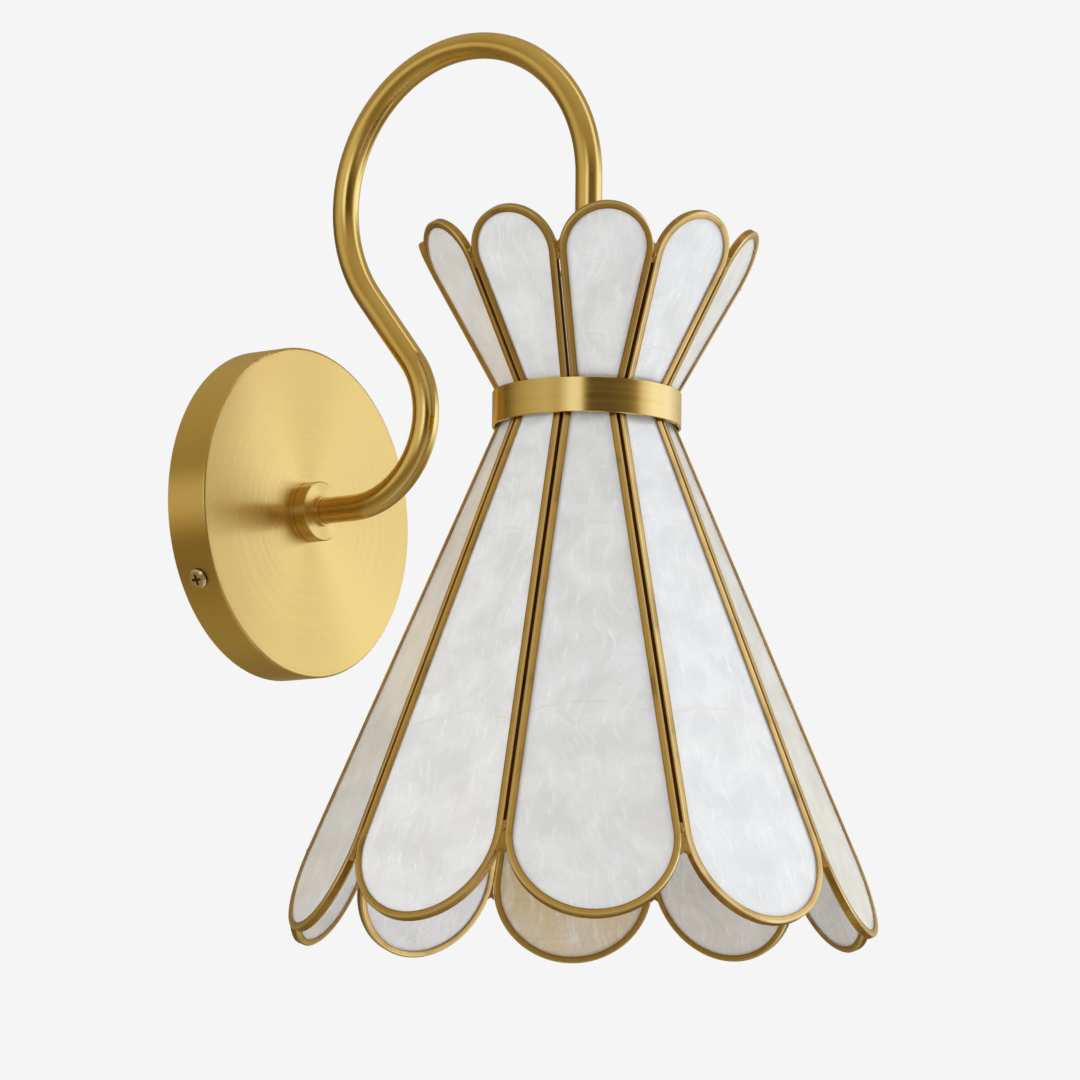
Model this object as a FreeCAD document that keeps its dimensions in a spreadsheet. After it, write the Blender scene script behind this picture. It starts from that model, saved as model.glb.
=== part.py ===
"""Wall sconce with a petalled capiz-shell shade on a brass swan neck.

The object's own frame is in millimetres: +Z is up, the wall is the plane Y = 0 and the light stands
out from it towards -Y. The origin is the centre of the wall plate's back.

Two local frames carry the pieces. The wall frame lies on the wall, with local Z straight out of it
and local X along the mounting bar. The shade frame stands on the shade's upright axis at the height
of its waist. Each petal is drawn flat in a frame of its own: local Y runs down (or up) the petal
from the waist, and local Z points out of its front face.
"""
import FreeCAD, Part
import math
import os
import Sketcher

from FreeCAD import Placement, Rotation, Vector

# Driving dimensions: alias, value in millimetres or degrees, what it is.
SIZES = [
    ("plate_diameter", 120, "wall plate, across"),
    ("plate_depth", 16.5, "wall plate, wall to front face"),
    ("plate_wall", 1.2, "sheet of the wall plate"),
    ("plate_edge", 0.9, "rounding of the plate's front edge"),
    ("bar_angle", 30, "mounting bar above the horizontal"),
    ("bar_width", 18, "mounting bar, across"),
    ("bar_sheet", 2, "sheet of the mounting bar"),
    ("bar_bend", 0.8, "inner radius of the bar's bends"),
    ("bar_clearance", 0.3, "bar ear to the inside of the plate's rim"),
    ("ear_height", 13, "bar ear, wall to tip"),
    ("wall_hole_pitch", 70, "wall screws, centre to centre"),
    ("wall_hole", 4.5, "wall screw hole"),
    ("wire_hole", 16, "wire hole in the bar"),
    ("side_screw", 4, "thread of the plate's side screws"),
    ("side_screw_length", 10, "side screw under its head"),
    ("side_screw_head", 7.5, "head of the side screws, across"),
    ("side_screw_head_height", 1.5, "head of the side screws"),
    ("screw_clearance", 0.15, "around a screw in its hole"),
    ("cross_width", 1, "cross recess, one slot's width"),
    ("cross_length", 4, "cross recess, tip to tip"),
    ("cross_depth", 0.9, "cross recess"),
    ("earth_screw", 3.9, "thread of the earth screw"),
    ("earth_screw_head", 7.8, "head of the earth screw, across"),
    ("earth_screw_head_height", 2.4, "head of the earth screw"),
    ("earth_screw_place", 18, "earth screw from the bar's centre"),
    ("collar_diameter", 21.6, "hub collar, across"),
    ("collar_height", 6.2, "hub collar, along the tube"),
    ("collar_groove", 0.35, "depth of the groove round the collar's foot"),
    ("collar_foot", 0.9, "collar's foot behind the groove"),
    ("collar_edge", 0.4, "break of the collar's front edge"),
    ("ferrule_diameter", 11, "raised ring round the tube on the collar"),
    ("ferrule_height", 1.6, "raised ring, beyond the collar"),
    ("nut_flats", 14, "lock nuts, across flats"),
    ("nut_height", 4, "lock nuts"),
    ("washer_diameter", 18, "lock washer behind the plate"),
    ("washer_sheet", 1, "lock washer's thickness"),
    ("tube_diameter", 9.5, "swan-neck tube, outside"),
    ("tube_wall", 1, "swan-neck tube's wall"),
    ("tube_clearance", 0.08, "around the tube in what it passes through"),
    ("tube_tail", 2, "tube past the nut inside the plate"),
    ("arm_outset", 36.5, "wall to the start of the lower bend"),
    ("arm_lower_radius", 32, "lower bend, to the tube's centre line"),
    ("arm_lower_turn", 128, "how far the lower bend turns"),
    ("arm_link", 31.5, "straight between the two bends"),
    ("arm_upper_radius", 53.8, "upper bend, to the tube's centre line"),
    ("waist_height", 25.4, "shade's waist above the tube's start"),
    ("ring_diameter", 66, "waist ring, outside"),
    ("ring_wall", 0.9, "waist ring's strip"),
    ("ring_height", 12.3, "waist ring"),
    ("ring_edge", 0.25, "break of the waist ring's outer edges"),
    ("petal_count", 10, "petals in each tier"),
    ("seam_gap", 1.6, "between the front faces of neighbouring petals"),
    ("foot_gap", 0.5, "petal's foot from the middle of the waist"),
    ("frame_depth", 3, "petal frame, front to back"),
    ("frame_face", 2.4, "petal frame's visible width"),
    ("frame_wall", 0.8, "petal frame, wall outside the shell"),
    ("frame_lip", 0.5, "front lip of the petal frame"),
    ("frame_edge", 0.35, "break of the frame's front outer edge"),
    ("frame_rear_edge", 0.6, "bevel of the frame's rear outer edge"),
    ("shell_sheet", 1.6, "capiz panel's thickness"),
    ("shell_clearance", 0.15, "around the capiz panel in its frame"),
    ("skirt_ring_gap", 0.6, "between a skirt petal's corners and the ring's bore"),
    ("skirt_lean_angle", 22, "skirt petal from the upright"),
    ("skirt_arc_centre", 170, "waist to the centre of a skirt petal's round end"),
    ("skirt_turn_angle", 19.1, "first skirt petal, round the axis from straight ahead"),
    ("crown_ring_gap", 0.11, "between a crown petal's corners and the ring's bore"),
    ("crown_lean_angle", 28.25, "crown petal from the upright"),
    ("crown_arc_centre", 53.3, "waist to the centre of a crown petal's round end"),
    ("crown_turn_angle", 23.8, "first crown petal, round the axis from straight ahead"),
    ("solder_length", 7, "solder joint along its seam"),
    ("solder_rise", 2.5, "solder joint above where the round ends part"),
    ("solder_clearance", 0.06, "solder joint to the frames"),
    ("carrier_inset", 1.6, "carrier disc's edge behind the front of the skirt petals"),
    ("carrier_sheet", 1.5, "carrier disc's thickness"),
    ("vent_count", 6, "vent holes in the carrier disc"),
    ("vent_web", 3.56, "carrier disc's metal either side of a vent hole"),
    ("holder_diameter", 27, "lampholder, across"),
    ("holder_cap_height", 16, "lampholder cap"),
    ("holder_wall", 2, "lampholder's wall"),
    ("holder_spigot", 4, "lampholder body's collar inside the cap"),
    ("holder_clearance", 0.1, "between the lampholder's pieces"),
    ("tube_entry", 5, "tube into the lampholder cap"),
    ("thread_shell_bore", 14.6, "lampholder's screw shell, inside"),
    ("thread_shell_wall", 0.6, "lampholder's screw shell, wall"),
    ("thread_shell_length", 19, "lampholder's screw shell"),
    ("holder_rim", 0.8, "lampholder's body past its screw shell"),
    ("contact_diameter", 6, "lampholder's centre contact"),
    ("contact_height", 2, "lampholder's centre contact"),
    ("bulb_seat_gap", 0.3, "bulb to what it seats in"),
    ("bulb_cap_diameter", 13.9, "bulb's screw cap"),
    ("bulb_tip_diameter", 5, "bulb's tip contact"),
    ("bulb_tip_height", 3, "bulb's tip contact and insulator"),
    ("bulb_cap_wall", 0.4, "sheet of the bulb's screw cap"),
    ("bulb_neck", 12.6, "glass inside the screw cap, across"),
    ("bulb_overlap", 6, "glass inside the screw cap, along the axis"),
    ("bulb_globe", 45, "bulb's glass globe"),
    ("bulb_length", 76, "bulb, tip to the bottom of the globe"),
    ("bulb_glass", 0.8, "bulb's glass, thickness"),
]

TIERS = {"skirt": -1, "crown": 1}

doc = FreeCAD.newDocument("sconce")
sheet = doc.addObject("Spreadsheet::Sheet", "Sizes")
for row, (alias, size, meaning) in enumerate(SIZES, start=1):
    sheet.set(f"A{row}", meaning)
    sheet.set(f"B{row}", str(size))
    sheet.setAlias(f"B{row}", alias)
doc.recompute()

parts = []


def value(expression):
    """Number that an expression over the sheet's sizes gives now."""
    result = sheet.evalExpression(expression)
    return float(getattr(result, "Value", result))


# Sizes that follow from the driving ones, as expressions.
PLATE_BORE = "(Sizes.plate_diameter / 2 - Sizes.plate_wall)"
BAR_REACH = f"(sqrt({PLATE_BORE}^2 - (Sizes.bar_width / 2)^2) - Sizes.bar_clearance)"
SCREW_LEVEL = "(Sizes.plate_depth / 2)"
TUBE_HOLE = "(Sizes.tube_diameter + 2 * Sizes.tube_clearance)"
TUBE_START = (
    "(Sizes.plate_depth - Sizes.plate_wall - Sizes.washer_sheet - Sizes.nut_height"
    " - Sizes.tube_tail)"
)
ARC_CENTRE_OUT = (
    "(Sizes.arm_outset + Sizes.arm_lower_radius * sin(Sizes.arm_lower_turn)"
    " + Sizes.arm_link * cos(Sizes.arm_lower_turn)"
    " + Sizes.arm_upper_radius * sin(Sizes.arm_lower_turn))"
)
ARC_CENTRE_UP = (
    "(Sizes.arm_lower_radius * (1 - cos(Sizes.arm_lower_turn))"
    " + Sizes.arm_link * sin(Sizes.arm_lower_turn)"
    " - Sizes.arm_upper_radius * cos(Sizes.arm_lower_turn))"
)
AXIS_OUT = f"({ARC_CENTRE_OUT} + Sizes.arm_upper_radius)"
CARRIER_HALF = "(Sizes.carrier_sheet / 2)"
TUBE_END = f"(Sizes.waist_height - {CARRIER_HALF} - Sizes.tube_entry)"
RING_BORE = "(Sizes.ring_diameter / 2 - Sizes.ring_wall)"
HALF_SECTOR = "(180 / Sizes.petal_count)"
CORNER_SETBACK = f"(Sizes.seam_gap / 2 / cos{HALF_SECTOR} + Sizes.frame_edge)"
NUT_CORNER = "(Sizes.nut_flats / 2 / cos(30))"


def apothem(tier):
    """Front of a petal from the axis, at the waist, where its corners just fit the ring's bore."""
    reach = f"({RING_BORE} - Sizes.{tier}_ring_gap)"
    setback = f"(tan{HALF_SECTOR} * {CORNER_SETBACK})"
    spread = f"(({reach}^2 - {CORNER_SETBACK}^2) / cos{HALF_SECTOR}^2)"
    at_rim = f"(({setback} + sqrt({setback}^2 + {spread})) * cos{HALF_SECTOR}^2)"
    return f"({at_rim} - Sizes.ring_height / 2 * tan(Sizes.{tier}_lean_angle))"


CARRIER_RADIUS = f"({apothem('skirt')} - Sizes.carrier_inset)"
VENT_HOLE = f"({CARRIER_RADIUS} - {NUT_CORNER} - 2 * Sizes.vent_web)"
VENT_PLACE = f"(({CARRIER_RADIUS} + {NUT_CORNER}) / 2)"


def wall_frame():
    """Frame on the wall: Z out of it, X along the mounting bar."""
    angle = math.radians(value("Sizes.bar_angle"))
    along = Vector(math.cos(angle), 0, math.sin(angle))
    out = Vector(0, -1, 0)
    return Placement(Vector(), Rotation(along, out.cross(along), out, "ZXY"))


def shade_frame():
    """Frame on the shade's axis, at the middle of its waist."""
    return Placement(Vector(0, -value(AXIS_OUT), value("Sizes.waist_height")), Rotation())


def petal_frame(tier, turn):
    """Flat frame of one petal, turned round the axis from straight ahead, in degrees."""
    lean = math.radians(value(f"Sizes.{tier}_lean_angle"))
    angle = math.radians(turn)
    up = Vector(0, 0, 1)
    out = Vector(math.sin(angle), -math.cos(angle), 0)
    along = out * math.sin(lean) + up * (TIERS[tier] * math.cos(lean))
    normal = out * math.cos(lean) - up * (TIERS[tier] * math.sin(lean))
    foot = out * value(apothem(tier))
    local = Placement(foot, Rotation(along.cross(normal), along, normal, "ZXY"))
    return shade_frame().multiply(local)


def turns(tier):
    """Angle of each petal of a tier round the axis, in degrees."""
    count = int(value("Sizes.petal_count"))
    first = value(f"Sizes.{tier}_turn_angle")
    return [first + index * 360 / count for index in range(count)]


def new_body(label, frame=None):
    """Empty body of one sub-part."""
    body = doc.addObject("PartDesign::Body", label)
    body.Label = label
    if frame is not None:
        body.Placement = frame
    parts.append(body)
    return body


def new_sketch(body, name, role="XY_Plane", offset="0"):
    """Sketch on one of the body's own planes, moved along the plane's normal."""
    sketch = body.newObject("Sketcher::SketchObject", name)
    plane = next(item for item in body.Origin.OriginFeatures if item.Role == role)
    sketch.AttachmentSupport = [(plane, "")]
    sketch.MapMode = "FlatFace"
    sketch.setExpression("AttachmentOffset.Base.z", offset)
    return sketch


def bind(sketch, kind, *where, to, name):
    """Dimension of a sketch, named and bound to an expression."""
    size = value(to)
    if kind == "Angle":
        size = math.radians(size)
    index = sketch.addConstraint(Sketcher.Constraint(kind, *where, size))
    sketch.renameConstraint(index, name)
    sketch.setExpression(f"Constraints.{name}", f"({to}) * 1 deg" if kind == "Angle" else to)


def place_point(sketch, geometry, point, across, up, name):
    """Hold a sketch point by its two coordinates, or on an axis where one is zero."""
    if across == "0":
        sketch.addConstraint(Sketcher.Constraint("PointOnObject", geometry, point, -2))
    else:
        bind(sketch, "DistanceX", -1, 1, geometry, point, to=across, name=f"{name}_x")
    if up == "0":
        sketch.addConstraint(Sketcher.Constraint("PointOnObject", geometry, point, -1))
    else:
        bind(sketch, "DistanceY", -1, 1, geometry, point, to=up, name=f"{name}_y")


def polygon(sketch, corners):
    """Closed outline of straight edges through corners given as expressions."""
    places = [Vector(value(across), value(up), 0) for across, up in corners]
    count = len(corners)
    first = sketch.GeometryCount
    for index in range(count):
        sketch.addGeometry(Part.LineSegment(places[index], places[(index + 1) % count]), False)
    for index in range(count):
        following = first + (index + 1) % count
        sketch.addConstraint(Sketcher.Constraint("Coincident", first + index, 2, following, 1))
    for index, (across, up) in enumerate(corners):
        place_point(sketch, first + index, 1, across, up, f"corner{first + index}")


def circle(sketch, diameter, across="0", up="0"):
    """Circle by its diameter and centre."""
    centre = Vector(value(across), value(up), 0)
    index = sketch.addGeometry(Part.Circle(centre, Vector(0, 0, 1), value(diameter) / 2), False)
    bind(sketch, "Diameter", index, to=diameter, name=f"diameter{index}")
    place_point(sketch, index, 3, across, up, f"centre{index}")


def pad(body, sketch, length, reverse=False, middle=False):
    """Solid raised from a sketch."""
    feature = body.newObject("PartDesign::Pad", f"{sketch.Name}_pad")
    feature.Profile = sketch
    feature.Reversed = reverse
    feature.Midplane = middle
    feature.setExpression("Length", length)
    doc.recompute()
    return feature


def pocket(body, sketch, length=None, reverse=False, middle=False):
    """Cut from a sketch, to a depth or right through, which must take material away."""
    before = body.Shape.Volume
    feature = body.newObject("PartDesign::Pocket", f"{sketch.Name}_pocket")
    feature.Profile = sketch
    feature.Reversed = reverse
    feature.Midplane = middle
    if length is None:
        feature.Type = "ThroughAll"
    else:
        feature.setExpression("Length", length)
    doc.recompute()
    if body.Shape.Volume >= before:
        raise RuntimeError(f"{sketch.Name} cuts nothing from {body.Label}")
    return feature


def pattern(body, feature, axis, count):
    """Repeat a feature evenly round one of the body's own axes."""
    polar = body.newObject("PartDesign::PolarPattern", f"{feature.Name}_ring")
    polar.Originals = [feature]
    polar.Axis = (next(item for item in body.Origin.OriginFeatures if item.Role == axis), [""])
    polar.Angle = 360
    polar.setExpression("Occurrences", count)
    body.Tip = polar
    doc.recompute()
    return polar


def turned(label, frame, corners):
    """Turned piece: corners are (radius, height) round the local Z axis."""
    body = new_body(label, frame)
    sketch = new_sketch(body, f"{label}_profile", "XZ_Plane")
    polygon(sketch, corners)
    revolve(body, sketch)
    return body


def revolve(body, sketch):
    """Full turn of a sketch round the body's upright axis."""
    feature = body.newObject("PartDesign::Revolution", f"{sketch.Name}_turn")
    feature.Profile = sketch
    feature.ReferenceAxis = (sketch, ["V_Axis"])
    feature.Angle = 360
    doc.recompute()
    return feature


def edges_where(feature, test):
    """Names of a feature's edges whose middle point passes a test."""
    names = []
    for number, edge in enumerate(feature.Shape.Edges, start=1):
        middle = edge.valueAt((edge.FirstParameter + edge.LastParameter) / 2)
        if test(edge, middle):
            names.append(f"Edge{number}")
    return names


def soften(body, kind, feature, names, size):
    """Fillet or Chamfer of some of a feature's edges."""
    edge = body.newObject(f"PartDesign::{kind}", f"{feature.Name}_{kind.lower()}")
    edge.Base = (feature, names)
    edge.setExpression("Size" if kind == "Chamfer" else "Radius", size)
    doc.recompute()
    return edge


def near(first, second, tolerance=1e-4):
    """Whether two lengths are the same."""
    return abs(first - second) < tolerance


# Wall group: bar, plate and their screws.


def make_wall_bracket():
    """Bent steel bar that is screwed to the wall and takes the plate's side screws."""
    body = new_body("wall_bracket", wall_frame())
    profile = new_sketch(body, "bar_profile", "XZ_Plane")
    inside = f"({BAR_REACH} - Sizes.bar_sheet)"
    polygon(profile, [
        (f"-{BAR_REACH}", "0"), (BAR_REACH, "0"), (BAR_REACH, "Sizes.ear_height"),
        (inside, "Sizes.ear_height"), (inside, "Sizes.bar_sheet"),
        (f"-{inside}", "Sizes.bar_sheet"), (f"-{inside}", "Sizes.ear_height"),
        (f"-{BAR_REACH}", "Sizes.ear_height"),
    ])
    bar = pad(body, profile, "Sizes.bar_width", middle=True)
    reach = value(BAR_REACH)
    sheet_size = value("Sizes.bar_sheet")
    outer = edges_where(bar, lambda edge, at: near(at.z, 0) and near(abs(at.x), reach))
    bent = soften(body, "Fillet", bar, outer, "Sizes.bar_bend + Sizes.bar_sheet")
    inner = edges_where(
        bent, lambda edge, at: near(at.z, sheet_size) and near(abs(at.x), reach - sheet_size)
    )
    soften(body, "Fillet", bent, inner, "Sizes.bar_bend")
    holes = new_sketch(body, "bar_holes")
    circle(holes, "Sizes.wire_hole")
    circle(holes, "Sizes.wall_hole", "Sizes.wall_hole_pitch / 2")
    circle(holes, "Sizes.wall_hole", "-Sizes.wall_hole_pitch / 2")
    circle(holes, "Sizes.earth_screw + 2 * Sizes.tube_clearance", "Sizes.earth_screw_place")
    pocket(body, holes, reverse=True)
    threads = new_sketch(body, "ear_threads", "YZ_Plane")
    circle(threads, "Sizes.side_screw", "0", SCREW_LEVEL)
    pocket(body, threads, "Sizes.plate_diameter", middle=True)


def make_backplate():
    """Drawn brass dish that covers the bar, its rim against the wall."""
    body = new_body("backplate", wall_frame())
    blank = new_sketch(body, "plate_blank")
    circle(blank, "Sizes.plate_diameter")
    dish = pad(body, blank, "Sizes.plate_depth")
    depth = value("Sizes.plate_depth")
    rim = edges_where(dish, lambda edge, at: near(at.z, depth))
    soften(body, "Fillet", dish, rim, "Sizes.plate_edge")
    hollow = new_sketch(body, "plate_hollow")
    circle(hollow, f"2 * {PLATE_BORE}")
    pocket(body, hollow, "Sizes.plate_depth - Sizes.plate_wall", reverse=True)
    hole = new_sketch(body, "plate_tube_hole")
    circle(hole, TUBE_HOLE)
    pocket(body, hole, reverse=True)
    sides = new_sketch(body, "plate_screw_holes", "YZ_Plane")
    circle(sides, "Sizes.side_screw + 2 * Sizes.screw_clearance", "0", SCREW_LEVEL)
    pocket(body, sides, "2 * Sizes.plate_diameter", middle=True)


def make_cover_screws():
    """The two cross-head screws that hold the plate to the bar's ears, one at each end."""
    body = new_body("cover_screws", wall_frame())
    body.AllowCompound = True
    seat = "(Sizes.plate_diameter / 2)"
    shank = new_sketch(body, "side_screw_shank", "YZ_Plane", f"{seat} - Sizes.side_screw_length")
    circle(shank, "Sizes.side_screw - Sizes.screw_clearance", "0", SCREW_LEVEL)
    shank_pad = pad(body, shank, "Sizes.side_screw_length")
    head = new_sketch(body, "side_screw_head", "YZ_Plane", seat)
    circle(head, "Sizes.side_screw_head", "0", SCREW_LEVEL)
    head_pad = pad(body, head, "Sizes.side_screw_head_height")
    top = value(f"{seat} + Sizes.side_screw_head_height")
    rim = edges_where(head_pad, lambda edge, at: near(at.x, top))
    rounded = soften(body, "Chamfer", head_pad, rim, "Sizes.side_screw_head_height / 2")
    cross = new_sketch(
        body, "side_screw_cross", "YZ_Plane",
        f"{seat} + Sizes.side_screw_head_height - Sizes.cross_depth",
    )
    arm = "Sizes.cross_length / 2"
    half = "Sizes.cross_width / 2"
    quarter = [(half, arm), (half, half), (arm, half)]
    corners = []
    for side, rise in ((1, 1), (1, -1), (-1, -1), (-1, 1)):
        points = [(f"{side} * {a}", f"{rise} * {b} + {SCREW_LEVEL}") for a, b in quarter]
        corners += points if side * rise > 0 else points[::-1]
    polygon(cross, corners)
    recess = pocket(body, cross, "Sizes.cross_depth", reverse=True)
    both = body.newObject("PartDesign::PolarPattern", "side_screw_pair")
    both.Originals = [shank_pad, head_pad, rounded, recess]
    both.Axis = (next(item for item in body.Origin.OriginFeatures if item.Role == "Z_Axis"), [""])
    both.Angle = 360
    both.Occurrences = 2
    body.Tip = both
    doc.recompute()


def make_ground_screw():
    """Earth terminal screw in the bar."""
    frame = wall_frame().multiply(Placement(Vector(value("Sizes.earth_screw_place"), 0, 0), Rotation()))
    top = "Sizes.bar_sheet + Sizes.earth_screw_head_height"
    turned("ground_screw", frame, [
        ("0", "0"), ("Sizes.earth_screw / 2", "0"), ("Sizes.earth_screw / 2", "Sizes.bar_sheet"),
        ("Sizes.earth_screw_head / 2", "Sizes.bar_sheet"),
        ("Sizes.earth_screw_head / 2", f"{top} - Sizes.plate_edge"),
        ("Sizes.earth_screw_head / 2 - Sizes.plate_edge", top), ("0", top),
    ])


def make_hub_collar():
    """Turned collar that the tube leaves the plate through, with a groove at its foot."""
    foot = "Sizes.plate_depth"
    rim = "Sizes.collar_diameter / 2"
    front = f"{foot} + Sizes.collar_height"
    groove = f"{foot} + Sizes.collar_foot"
    turned("hub_collar", wall_frame(), [
        (f"{TUBE_HOLE} / 2", foot), (rim, foot), (rim, groove),
        (f"{rim} - Sizes.collar_groove", groove),
        (f"{rim} - Sizes.collar_groove", f"{groove} + Sizes.collar_groove"),
        (rim, f"{groove} + Sizes.collar_groove"), (rim, f"{front} - Sizes.collar_edge"),
        (f"{rim} - Sizes.collar_edge", front), ("Sizes.ferrule_diameter / 2", front),
        ("Sizes.ferrule_diameter / 2", f"{front} + Sizes.ferrule_height"),
        (f"{TUBE_HOLE} / 2", f"{front} + Sizes.ferrule_height"),
    ])


def make_hub_washer():
    """Lock washer between the plate and its nut."""
    back = "Sizes.plate_depth - Sizes.plate_wall"
    turned("hub_lock_washer", wall_frame(), [
        (f"{TUBE_HOLE} / 2", f"{back} - Sizes.washer_sheet"),
        ("Sizes.washer_diameter / 2", f"{back} - Sizes.washer_sheet"),
        ("Sizes.washer_diameter / 2", back), (f"{TUBE_HOLE} / 2", back),
    ])


def make_nut(label, frame, foot):
    """Hexagon lock nut on the tube, its foot at a height in its frame."""
    hexagon = doc.addObject("Part::Prism", f"{label}_hexagon")
    hexagon.Polygon = 6
    hexagon.setExpression("Circumradius", NUT_CORNER)
    hexagon.setExpression("Height", "Sizes.nut_height")
    hexagon.setExpression("Placement.Base.z", foot)
    thread = doc.addObject("Part::Cylinder", f"{label}_thread")
    thread.setExpression("Radius", f"{TUBE_HOLE} / 2")
    thread.setExpression("Height", "Sizes.nut_height")
    thread.setExpression("Placement.Base.z", foot)
    nut = doc.addObject("Part::Cut", label)
    nut.Label = label
    nut.Base = hexagon
    nut.Tool = thread
    nut.Placement = frame
    parts.append(nut)


# Swan neck.


def make_swan_neck():
    """Bent tube: straight out of the hub, back over the lower bend, round the upper one and down."""
    body = new_body("swan_neck_tube")
    path = new_sketch(body, "neck_path", "YZ_Plane")
    turn = math.radians(value("Sizes.arm_lower_turn"))
    low = value("Sizes.arm_lower_radius")
    high = value("Sizes.arm_upper_radius")
    lower_centre = Vector(-value("Sizes.arm_outset"), low, 0)
    upper_centre = Vector(-value(ARC_CENTRE_OUT), value(ARC_CENTRE_UP), 0)
    leaving = lower_centre + Vector(-math.sin(turn), -math.cos(turn), 0) * low
    arriving = upper_centre + Vector(math.sin(turn), math.cos(turn), 0) * high
    top_end = upper_centre - Vector(high, 0, 0)
    upright = Vector(0, 0, 1)
    path.addGeometry([
        Part.LineSegment(Vector(-value(TUBE_START), 0, 0), Vector(lower_centre.x, 0, 0)),
        Part.ArcOfCircle(Part.Circle(lower_centre, upright, low), 1.5 * math.pi - turn, 1.5 * math.pi),
        Part.LineSegment(leaving, arriving),
        Part.ArcOfCircle(Part.Circle(upper_centre, upright, high), math.pi / 2 - turn, math.pi),
        Part.LineSegment(top_end, Vector(top_end.x, value(TUBE_END), 0)),
    ], False)
    for link in ((0, 2, 1, 2), (1, 1, 2, 1), (2, 2, 3, 1), (3, 2, 4, 1)):
        path.addConstraint(Sketcher.Constraint("Tangent", *link))
    path.addConstraint(Sketcher.Constraint("PointOnObject", 0, 1, -1))
    path.addConstraint(Sketcher.Constraint("Horizontal", 0))
    path.addConstraint(Sketcher.Constraint("Vertical", 4))
    bind(path, "DistanceX", 0, 1, -1, 1, to=TUBE_START, name="start")
    bind(path, "DistanceX", 0, 2, -1, 1, to="Sizes.arm_outset", name="outset")
    bind(path, "Radius", 1, to="Sizes.arm_lower_radius", name="lower_radius")
    bind(path, "Angle", 2, to="180 - Sizes.arm_lower_turn", name="link_slope")
    bind(path, "Distance", 2, to="Sizes.arm_link", name="link_length")
    bind(path, "Radius", 3, to="Sizes.arm_upper_radius", name="upper_radius")
    bind(path, "DistanceY", -1, 1, 4, 2, to=TUBE_END, name="end")
    section = new_sketch(body, "neck_section", "XZ_Plane", TUBE_START)
    circle(section, "Sizes.tube_diameter")
    circle(section, "Sizes.tube_diameter - 2 * Sizes.tube_wall")
    pipe = body.newObject("PartDesign::AdditivePipe", "neck_pipe")
    pipe.Profile = section
    pipe.Spine = (path, [f"Edge{number}" for number in range(1, 6)])
    pipe.Transition = "Transformed"
    doc.recompute()
    outside = value("Sizes.tube_diameter") / 2
    inside = outside - value("Sizes.tube_wall")
    expected = math.pi * (outside**2 - inside**2) * path.Shape.Length
    print("swan neck: length", round(path.Shape.Length, 1), "volume ratio",
          round(body.Shape.Volume / expected, 4))


# Shade.


def make_waist_ring():
    """Brass band round the waist, over the feet of both tiers of petals."""
    outer = "Sizes.ring_diameter / 2"
    half = "Sizes.ring_height / 2"
    turned("waist_ring", shade_frame(), [
        (RING_BORE, f"-{half}"), (f"{outer} - Sizes.ring_edge", f"-{half}"),
        (outer, f"-{half} + Sizes.ring_edge"), (outer, f"{half} - Sizes.ring_edge"),
        (f"{outer} - Sizes.ring_edge", half), (RING_BORE, half),
    ])


def make_shade_carrier():
    """Disc that the petals' feet are soldered to, clamped on the tube below its nut."""
    body = new_body("shade_carrier", shade_frame())
    blank = new_sketch(body, "carrier_blank", "XY_Plane", f"-{CARRIER_HALF}")
    circle(blank, f"2 * {CARRIER_RADIUS}")
    circle(blank, TUBE_HOLE)
    pad(body, blank, "Sizes.carrier_sheet")
    vent = new_sketch(body, "carrier_vent", "XY_Plane", f"-{CARRIER_HALF}")
    circle(vent, VENT_HOLE, VENT_PLACE)
    cut = pocket(body, vent, reverse=True)
    pattern(body, cut, "Z_Axis", "Sizes.vent_count")


def side_slope(tier):
    """Angle between a petal's centre line and its straight side."""
    return f"atan(sin(Sizes.{tier}_lean_angle) * tan{HALF_SECTOR})"


def half_width(tier, along, inset):
    """Half width of a petal at a distance from the waist, inside its outline by an inset."""
    sector = f"({apothem(tier)} + ({along}) * sin(Sizes.{tier}_lean_angle)) * tan{HALF_SECTOR}"
    return f"({sector} - Sizes.seam_gap / 2 - ({inset}) / cos({side_slope(tier)}))"


def end_radius(tier, inset):
    """Radius of a petal's round end, which its straight sides touch."""
    outline = half_width(tier, f"Sizes.{tier}_arc_centre", "0")
    return f"({outline} * cos({side_slope(tier)}) - ({inset}))"


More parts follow.
